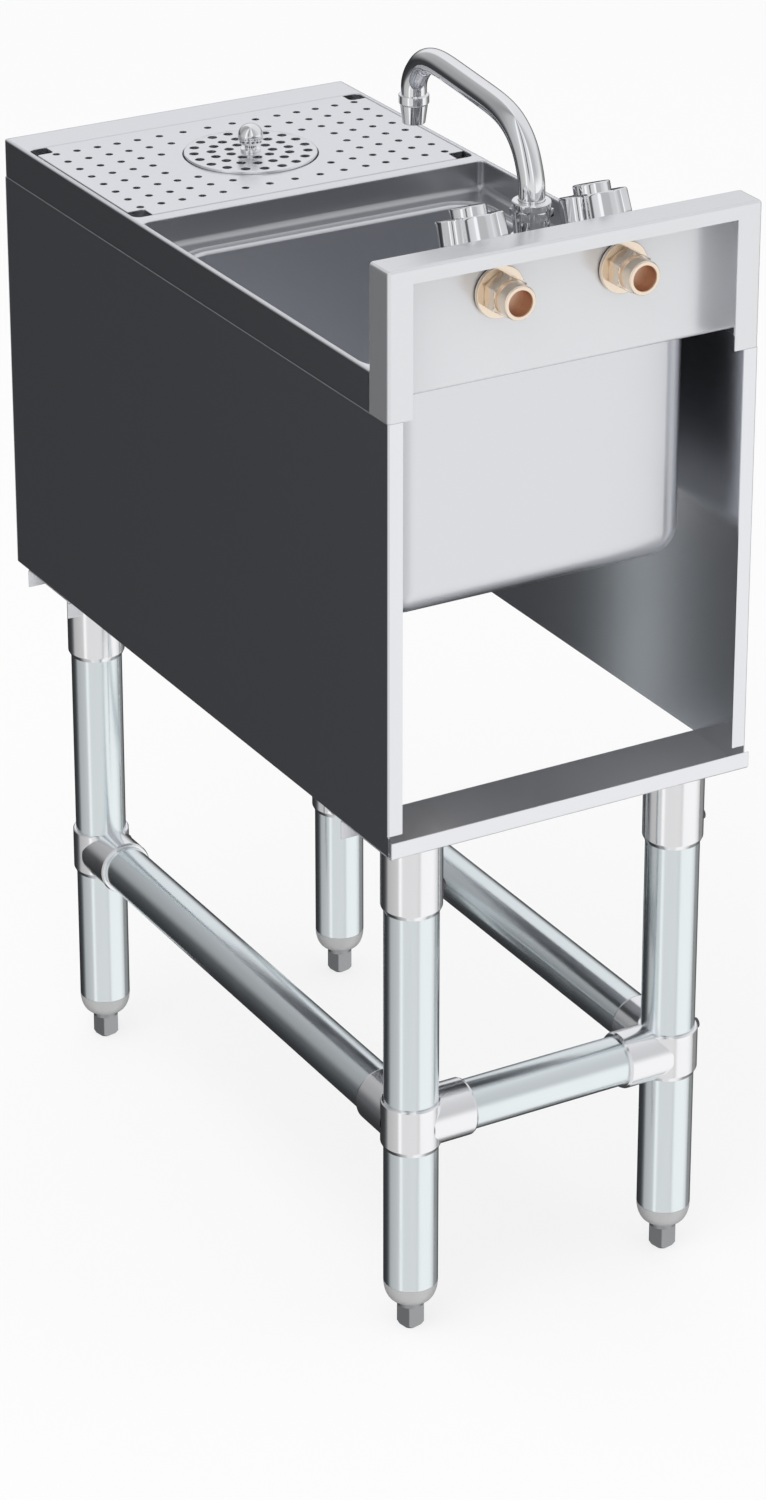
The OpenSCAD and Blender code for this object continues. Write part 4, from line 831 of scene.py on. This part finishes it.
class STATION_OT_panels(Operator):
    """The lower panels and the two channels that carry the legs"""
    bl_idname = "station.panels"
    bl_label = "Panels and channels"

    def execute(self, context):
        t, r = sizes(context, "sheet", "bend")
        h, rise, x, edge, wing_low = t / 2, SKIRT - 0.1, HALF - t / 2, REAR - r, 434
        wing = bend([(x, edge), (x, REAR - h), (140 + h, REAR - h)], r - h - 0.01, 8)
        side = [bar(np.array(path), t, "z", low, high, ease, True) for path, low, high, ease in (
            ([(x, FRONT + t + 0.1), (x, edge)], BASE, rise, 0.25), (wing, wing_low, rise, 0.25),
            ([(x, edge), (x, REAR)], BASE, wing_low, 0.02))]
        piece("side_sheet_right", side, "panel sheet", "side_panel_right")
        piece("side_sheet_left", [mirrored(p) for p in side], "panel sheet", "side_panel_left")
        face = np.array([(-x, FRONT + h), (x, FRONT + h)])
        piece("front_sheet", bar(face, t, "z", BASE, rise), "panel sheet", "front_panel")
        # the channels as (y, z): low edges at 402.5, and the front one's rear lip cut out for the sockets
        low, top, (a, b), (c, d) = 402.5 + h, BASE - h, (233.1, 306.3), (-287.3, -215.5)
        rear = bend([(a, low), (a, top), (b, top), (b, 431 - h)], r - h, 7)
        piece("rear_rail", bar(rear, t, "x", -HALF, HALF), "rail sheet", "rear_channel")
        front = bend([(c, low), (c, top), (d, top), (d, BASE - 3)], r - h, 7)
        lip = np.array([(d, BASE - 2.5), (d, low)])
        rails = [bar(lip, t, "x", *span) for span in ((-HALF, -139), (-87, 87), (139, HALF))]
        piece("front_rail", [bar(front, t, "x", -HALF, HALF)] + rails, "rail sheet", "front_channel")
        return {"FINISHED"}


# The frame: legs, braces, fittings and feet

SIDE_X, FRONT_Y, REAR_Y, BRACE_Z = 113, -245.7, 267.3, 174.5
LEGS = {"front_right": (SIDE_X, FRONT_Y), "front_left": (-SIDE_X, FRONT_Y),
        "rear_right": (SIDE_X, REAR_Y), "rear_left": (-SIDE_X, REAR_Y)}
# Radius and bore of the tubes, the legs' ends, and the castings' bore, mouth and outer radius
LEG_R, LEG_BORE, BRACE_R, BRACE_BORE, LEG_LOW, LEG_TOP = 20.65, 19.05, 19.05, 17.45, 39, 413.3
CAST_BORE, CAST_MOUTH, CAST_R = 20.75, 21, 23


class STATION_OT_legs(Operator):
    """The tube legs and braces"""
    bl_idname = "station.legs"
    bl_label = "Legs and braces"

    def execute(self, context):
        steps = context.scene.station_sizes.tube_segments
        for name, (x, y) in LEGS.items():
            tube = drum(LEG_R, LEG_LOW, LEG_TOP, 0.35, LEG_BORE, steps, at=(x, y, 0))
            piece("tube_" + name, tube, "upright tube", "leg_" + name)
        for side, low, high, x, y, axis, finish in (("right", -222.4, 244.0, SIDE_X, 0, "y", "level tube"),
                                                    ("left", -222.4, 244.0, -SIDE_X, 0, "y", "level tube"),
                                                    ("rear", -89.7, 89.7, 0, REAR_Y, "x", "cross tube")):
            tube = drum(BRACE_R, low, high, 0.35, BRACE_BORE, steps, at=(x, y, BRACE_Z), axis=axis)
            piece("rail_tube_" + side, tube, finish, "brace_" + side)
        return {"FINISHED"}


class STATION_OT_fittings(Operator):
    """The welded leg sockets and the tee fittings"""
    bl_idname = "station.fittings"
    bl_label = "Sockets and tees"

    def execute(self, context):
        steps = context.scene.station_sizes.tube_segments
        mouth, top, low, high = 352, 417.3, BRACE_Z - 19.5, BRACE_Z + 19.5
        outline = [(CAST_BORE, mouth, 0), (CAST_MOUTH, mouth, 0.3), (CAST_R, mouth + 4, 1.6),
                   (CAST_R, top, 0.4), (CAST_BORE, top, 0)]
        sockets = [lathe(outline, 5, steps, at=(x, y, 0)) for x, y in LEGS.values()]
        piece("sockets", sockets, "fitting", "leg_sockets")
        sleeve = [(CAST_BORE, low, 0), (CAST_MOUTH, low, 0.3), (CAST_R, low + 4, 1.6),
                  (CAST_R, high - 1, 0.7), (22, high, 0.5), (CAST_BORE, high, 0)]
        socket = np.array([(19.15, 24, 0), (22, 8, 0), (22, 44, 0.8), (21, 46, 0.5), (19.15, 46, 0)])
        turns = {"front_right": "+y", "front_left": "+y", "rear_right": "-y-x", "rear_left": "-y+x"}
        for name, (x, y) in LEGS.items():
            parts = [lathe(sleeve, 5, steps, at=(x, y, 0))]
            for sign, axis in zip(turns[name][::2], turns[name][1::2]):
                arm = socket * [1, 1 if sign == "+" else -1, 1]
                parts.append(lathe(arm, 5, steps, at=(x, y, BRACE_Z), axis=axis))
            piece("tee_casting_" + name, parts, "fitting", "tee_" + name)
        return {"FINISHED"}


class STATION_OT_feet(Operator):
    """The domed inserts in the tube ends and the levelling feet"""
    bl_idname = "station.feet"
    bl_label = "Inserts and feet"

    def execute(self, context):
        a = np.radians(np.linspace(0, 90, 12))
        dome = np.c_[12 + 8.65 * np.sin(a), LEG_LOW - 16 * np.cos(a)]
        plug = [(LEG_R, LEG_LOW), (19, 39.2), (19, 60), (6.1, 60)]
        profile = np.vstack([[(6.1, 23.4), (6.4, 23)], dome, plug])
        inserts = [spin(profile, 64, closed=True, at=(x, y, 0)) for x, y in LEGS.values()]
        piece("inserts", inserts, "insert", "foot_inserts")
        # a square shank of half width 7.5, turned by 11.4 degrees, whose corners the limits cut, and a cone
        turn = np.radians(np.arange(0, 360, 3.0))
        off = turn - math.radians(11.4)
        square = 7.5 / np.maximum(np.abs(np.cos(off)), np.abs(np.sin(off)))
        z = np.array([0, 0, 0.5, 1.0, 1.8, 9, 17.6, 18.2, 19.2, 22.2, 22.5, 22.5])
        limit = np.array([0, 8.4, 8.9, 9.4, 10.2, 10.2, 10.2, 10.2, 10.3, 11.0, 10.8, 0])[:, None]
        shank = skin(turned(np.where(z[:, None] < 18.2, np.minimum(square[None], limit), limit), turn, z))
        # threads of pitch 1.75 round a rod of radius 6
        rod_low, rod_top = 22.3, 65.6
        threads = np.arange(rod_low, rod_top, 0.35)
        rod = np.vstack([[(0, rod_low)], np.c_[5.75 + 0.25 * np.cos(threads * 2 * np.pi / 1.75), threads],
                         [(0, rod_top)]])
        for name, (x, y) in LEGS.items():
            parts = [shifted(shank, x, y), spin(rod, 40, at=(x, y, 0))]
            piece("level_" + name, parts, "foot", "foot_" + name, name + "_foot", 30)
        return {"FINISHED"}


# The rinser and its plate

PLATE_Y, PLATE_T, PLATE_HOLE, OPENING, DISC_R = -180.6, 1.5, 3.0, 53.25, 52.25
COLUMNS = np.array([0, 0.149, 0.291, 0.422, 0.543, 0.659, 0.78, 0.901]) * OPEN
ROWS = (np.arange(8) - 3.5) * 20.6


class STATION_OT_plate(Operator):
    """The perforated plate with its finger notches"""
    bl_idname = "station.plate"
    bl_label = "Perforated plate"

    def execute(self, context):
        ease = sizes(context, "plate_edge")[0]
        half, deep, cut, low, top = 147.0, 91.3, 14, RIM - PLATE_T, RIM
        corners = [(half - cut, -deep), (half - cut, -deep + cut), (half, -deep + cut),
                   (half, deep - cut), (half - cut, deep - cut), (half - cut, deep)]
        points = np.array(corners + [(-x, -y) for x, y in corners])
        outline = bend(points, [0.8, 3, 0.8] * 4, 5, closed=True)
        step = np.roll(outline, -1, 0) - np.roll(outline, 1, 0)
        inward = np.c_[-step[:, 1], step[:, 0]] / np.linalg.norm(step, axis=1)[:, None]
        edge = levels(((0.3, low), (0, low + 0.3), (0, top - ease), (0.15 * ease, top - 0.5 * ease),
                       (0.5 * ease, top - 0.15 * ease), (ease, top)), lambda d: outline + inward * d)
        places = np.stack(np.meshgrid(np.r_[COLUMNS, -COLUMNS[1:]], ROWS), -1).reshape(-1, 2)
        places = places[np.linalg.norm(places, axis=1) > 66]
        loops = [hole(x, y, PLATE_HOLE, top, low) for x, y in places]
        loops.append(hole(0, 0, OPENING, top, low, 96, 0.4))

        def on_plate(c):
            middle = np.linalg.norm(c, axis=1) < OPENING + 0.25
            notch = (np.abs(c[:, 0]) > half - cut + 0.1) & (np.abs(c[:, 1]) > deep - cut + 0.1)
            return ~in_holes(c, places, PLATE_HOLE + 0.1) & ~middle & ~notch

        parts = [shifted(pierced(edge, loops, on_plate), 0, PLATE_Y)]
        foot = LEDGE + 0.3 + PLATE_T / 2
        for way in (-1, 1):
            for at, axis, middle, reach in ((way * (half - 0.8), "y", PLATE_Y, 76),
                                            (PLATE_Y + way * (deep - 0.8), "x", 0, 131.5)):
                skirt = np.array([(at, foot), (at, low)])
                parts.append(bar(skirt, PLATE_T, axis, middle - reach, middle + reach, 0.4))
        piece("drain_plate", parts, "top sheet", "perforated_plate", "plate")
        return {"FINISHED"}


class STATION_OT_rinser(Operator):
    """The press disc and its spray nozzle"""
    bl_idname = "station.rinser"
    bl_label = "Press disc and nozzle"

    def execute(self, context):
        low, top, r, disc_hole = 780.0, 783.0, DISC_R, 3.75
        edge = levels(((r - 0.4, low), (r, low + 0.4), (r, top - 1.0), (r - 0.3, top - 0.35), (r - 1.0, top)),
                      lambda q: circle(0, 0, q, 120))
        places = np.vstack([circle(0, 0, r * share, count) for share, count in
                            ((0.856, 19), (0.588, 15), (0.33, 9))])
        loops = [hole(x, y, disc_hole, top, low, 18, 0.25) for x, y in places]
        disc = shifted(pierced(edge, loops, lambda c: ~in_holes(c, places, disc_hole + 0.1)), 0, PLATE_Y)
        rim = drum(r, 777.0, 781.0, 0.3, r - 2.6, 96, at=(0, PLATE_Y, 0))
        piece("rinser_disc", [disc, rim], "top sheet", "press_disc", "rinser_head")
        a = np.radians(np.linspace(-37, 90, 22))
        ball = np.c_[10 * np.cos(a), 795 + 10 * np.sin(a)]
        foot = bend([(0, top), (8, top), (8, 785), (4.5, 785.3), (4.5, 789), (8, 789)],
                    [0, 0.3, 0.6, 0.6, 0.4, 0], 5)
        nozzle = spin(np.vstack([foot, ball, [(0, 805)]]), 72, at=(0, PLATE_Y, 0))
        piece("rinser_nozzle", nozzle, "chrome", "spray_nozzle", "rinser_head")
        return {"FINISHED"}


class STATION_OT_spring(Operator):
    """The coil spring under the press disc, made at its rest length; the real one shortens as the disc goes
    down
    """
    bl_idname = "station.spring"
    bl_label = "Rinser spring"

    def execute(self, context):
        wire, radius, turns, travel = 0.8, 7.6, 7, 5.0
        low, high = np.array(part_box("rinser_spring"))[:, 2] / MM
        a = np.linspace(0, 2 * np.pi * turns, 30 * turns + 1)
        line = np.c_[radius * np.cos(a), PLATE_Y + radius * np.sin(a),
                     np.linspace(low + wire, high - wire, len(a))]
        coil = piece("press_spring", sweep(line, wire, 12), "chrome", "rinser_spring")
        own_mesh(coil)
        return {"FINISHED"}


# The faucet and its inlets

FAUCET_Y, FAUCET_Z, INLETS = 237.9, 822.0, (-50.8, 50.8)
# The valves' lean, the distance of their axis behind the body's, and the height of the knobs on it
LEAN, VALVE_BACK, KNOB_BASE = math.radians(20), 15.05, 16.3
TIP_Y = 72.99


def leaning(part, x):
    """A part made about Z, turned forward about X onto the valve's axis."""
    y, z = part[0][:, 1], part[0][:, 2]
    c, s = math.cos(LEAN), math.sin(LEAN)
    return np.c_[part[0][:, 0] + x, FAUCET_Y + VALVE_BACK + y * c - z * s, FAUCET_Z + y * s + z * c], part[1]


class STATION_OT_faucet(Operator):
    """The faucet's body, escutcheons, bonnets and spout nut"""
    bl_idname = "station.faucet"
    bl_label = "Faucet body"

    def execute(self, context):
        y, z, neck = FAUCET_Y, FAUCET_Z, 842
        post = [(0, 806, 0), (15.5, 806, 2), (15.5, neck, 1.6), (11.7, neck, 0.8), (11.7, 856.5, 0.8),
                (7.2, 856.5, 0.5), (7.2, neck, 0), (0, neck, 0)]
        body = [drum(10, *INLETS, 0.5, at=(0, y, z), axis="x"), lathe(post, 5, 72, False, at=(0, y, 0))]
        for x in INLETS:
            body.append(leaning(drum(14, -6, 16, 1, steps=72), x))
            body.append(drum(10, z - 6, z + 6, 0.8, steps=48, at=(x, y, 0)))
            body.append(lathe([(0, 0, 0), (12, 0, 0), (12, 30.8, 0.4), (0, 30.8, 0)], 4, 64, False,
                              at=(x, y, z), axis="y"))
            body.append(drum(10.4, 30, 57, steps=48, at=(x, y, z), axis="y"))
        piece("faucet_casting", body, "chrome", "faucet_body")
        rose = [(12.1, 30.8, 0), (14, 30.8, 0.6), (25, 34.9, 1.4), (25, 36.8, 0.3), (12.1, 36.8, 0)]
        roses = [lathe(rose, 6, 80, at=(x, y, z), axis="y") for x in INLETS]
        piece("roses", roses, "chrome", "escutcheons")
        bonnets = [leaning(prism(24, 16, 26, 0.5), x) for x in INLETS]
        piece("bonnets", bonnets, "chrome", "valve_bonnets")
        nut = [(9.8, neck, 0), (12.5, neck, 0.6), (14, 861.5, 1), (14.3, 863, 0.8), (14.3, 868, 1.2),
               (9.8, 868, 0)]
        nuts = [lathe(nut, 5, 80, at=(0, y, 0)), prism(27.1, 855, 862.5, 0.5, at=(0, y, 0))]
        piece("swivel_nut", nuts, "chrome", "spout_nut")
        return {"FINISHED"}


class STATION_OT_handles(Operator):
    """The two leaning handles, each with four tall petals between deep flutes, and a narrower cap"""
    bl_idname = "station.handles"
    bl_label = "Handles"

    def execute(self, context):
        # a petal's radius less its eased ends, cut by round flutes about a circle, and blended at the cut
        tall, taper, radius, circle_r, flute, soft = 29, 1.5, 26, 26.3, 9.0, 1.8
        turn = np.radians(np.arange(0, 360, 1.25))
        z = np.r_[0, 0, 0.25, 0.8, np.linspace(2, 27, 12), 27.8, 28.5, 28.85, tall]
        lean = taper * z / tall
        ends = np.interp(z, [0, 0.25, 0.8, 27.8, 28.5, 28.85, tall], [0.8, 0.25, 0, 0, 0.25, 0.6, 1.1])
        outer = radius - lean - ends
        outer[0] = 15
        centre, off = (circle_r - lean)[:, None], turn % (math.pi / 2) - math.pi / 4
        far = centre * np.sin(off)
        reach = centre * np.cos(off) - np.sqrt(np.maximum(flute ** 2 - far ** 2, 0))
        outer, lean = outer[:, None], lean[:, None]
        cut = np.where(np.abs(far) < flute, reach, 1e3) - (outer - radius + lean)
        r = np.minimum(cut, outer) - (np.maximum(soft - np.abs(cut - outer), 0) / soft) ** 2 * soft / 4
        # the foot's hollow below, and the cap above
        foot, hollow = 14.6, 14
        r[0] = foot
        cap = bend([(13.5, tall), (13.5, 36), (0, 36)], [0, 1.2, 0], 6)
        ring = np.ones((1, len(turn)))
        r = np.vstack([0 * ring, foot * ring, r, cap[:, :1] * ring])
        petals = skin(turned(r, turn + math.radians(-17), np.r_[hollow, hollow, z, cap[:, 1]]))
        for name, x in zip(("hot", "cold"), INLETS):
            knob = leaning(shifted(petals, z=KNOB_BASE), x)
            piece(name + "_knob_cast", knob, "chrome", name + "_handle", name + "_knob", 40)
        return {"FINISHED"}


class STATION_OT_spout(Operator):
    """The spout with its collar, and the aerator at its end"""
    bl_idname = "station.spout"
    bl_label = "Spout and aerator"

    def execute(self, context):
        y, big, small = FAUCET_Y, 48, 28
        rise = arc(y - big, 876.5, big, 0, 84)
        fall = arc(TIP_Y + small, 905.96, small, 84, 180)
        run = np.linspace(rise[-1], fall[0], 14)[1:-1]
        up = np.linspace((0, y, 858), (0, y, 876), 8)
        down = [(0, TIP_Y, z) for z in (905, 902.5, 899.9)]
        # the line is resampled evenly, and smoothed away from its straight ends
        line = np.vstack([up, rise, run, fall, down])
        step = np.r_[0, np.cumsum(np.linalg.norm(np.diff(line, axis=0), axis=1))]
        even = np.linspace(0, step[-1], 160)
        line = np.stack([np.interp(even, step, line[:, k]) for k in range(3)], -1)
        soft = line.copy()
        for _ in range(150):
            soft[1:-1] = (soft[:-2] + 2 * soft[1:-1] + soft[2:]) / 4
        hold = np.clip(np.minimum(even - 14, even[-1] - 3 - even) / 24, 0, 1)[:, None]
        tube = sweep(line + (soft - line) * hold * hold * (3 - 2 * hold), 9.5, 56)
        collar = lathe([(4, 835.6, 0), (7, 835.6, 0.4), (7, 856.8, 0), (11.3, 856.8, 0.5), (11.3, 859.8, 0.5),
                        (4, 859.8, 0)], 4, 64, at=(0, y, 0))
        piece("spout_tube", [tube, collar], "chrome", "spout", "swing_spout")
        tip = lathe([(7, 878, 0.2), (8.4, 878, 0.6), (10.3, 892.5, 0.5), (11.25, 893.6, 0.5),
                     (11.25, 900, 0.8), (8.5, 900, 0.2)], 5, 72, ends=True, at=(0, TIP_Y, 0))
        screen = drum(7.4, 880, 882, 0.2, steps=48, at=(0, TIP_Y, 0))
        piece("spout_tip", [tip, screen], ["chrome", "screw"], "aerator", "swing_spout")
        return {"FINISHED"}


class STATION_OT_inlets(Operator):
    """The gaskets, washers and adapters behind the backsplash"""
    bl_idname = "station.inlets"
    bl_label = "Inlets"

    def execute(self, context):
        bore, gasket, washer, nut, nut_end, end = 10.5, 275.9, 277.9, 281.4, 294.9, 307.9
        thread = [(9.85, 295, 0), (12, 295, 0.2), (12, 298, 0.3), (12.9, 298.5, 0.3), (12.9, 306.9, 0.7),
                  (12.2, end, 0.5), (9.85, end, 0)]
        gaskets, washers, adapters = [], [], []
        for x in INLETS:
            where = {"at": (x, 0, FAUCET_Z), "axis": "y"}
            gaskets.append(drum(19, gasket, washer, 0.3, bore, 72, **where))
            washers.append(drum(19.5, washer, nut, 0.7, bore, 72, **where))
            adapters.append(prism(27.5, nut, nut_end, 0.9, **where))
            adapters.append(lathe(thread, 4, 72, **where))
            adapters.append(spin([(0, 294.5), (12, 294.5), (12, 295.6), (0, 295.6)], 48, **where))
            adapters.append(drum(9.88, 295.3, 307.2, 0.1, 9.5, 64, **where))
        piece("gaskets", gaskets, "rubber", "inlet_gaskets")
        piece("washers", washers, "brass", "inlet_washers")
        # the inner disc and the bore take the darkened brass: painted shade inside the adapters
        finishes = ["brass", "brass", "brass bore in painted shade", "brass bore in painted shade"] * 2
        piece("adapters", adapters, finishes, "inlet_adapters")
        return {"FINISHED"}


class STATION_PT_pieces(Panel):
    bl_label = "Cocktail station"
    bl_space_type = "VIEW_3D"
    bl_region_type = "UI"
    bl_category = "Station"

    def draw(self, context):
        for settings in (context.scene.station_sizes, context.scene.station_colours):
            box = self.layout.box()
            for name in settings.__annotations__:
                box.prop(settings, name)
        for step in STEPS:
            self.layout.operator(step.bl_idname)


STEPS = (STATION_OT_stage, STATION_OT_finishes, STATION_OT_top, STATION_OT_splash, STATION_OT_sink,
         STATION_OT_panels, STATION_OT_legs, STATION_OT_fittings, STATION_OT_feet, STATION_OT_plate,
         STATION_OT_rinser, STATION_OT_spring, STATION_OT_faucet, STATION_OT_handles, STATION_OT_spout,
         STATION_OT_inlets)
CLASSES = (StationSizes, StationColours) + STEPS + (STATION_PT_pieces,)


def register():
    for cls in CLASSES:
        bpy.utils.register_class(cls)
    bpy.types.Scene.station_sizes = PointerProperty(type=StationSizes)
    bpy.types.Scene.station_colours = PointerProperty(type=StationColours)


def unregister():
    del bpy.types.Scene.station_sizes, bpy.types.Scene.station_colours
    for cls in reversed(CLASSES):
        bpy.utils.unregister_class(cls)


def plain(value):
    return [plain(v) for v in value] if hasattr(value, "__len__") else float(value)


def main():
    register()
    for step in STEPS:
        getattr(bpy.ops.station, step.bl_idname.split(".")[1])()
    {"cad": plain(CAD_BOX), "visual": plain(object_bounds())}


if __name__ == "__main__":
    main()
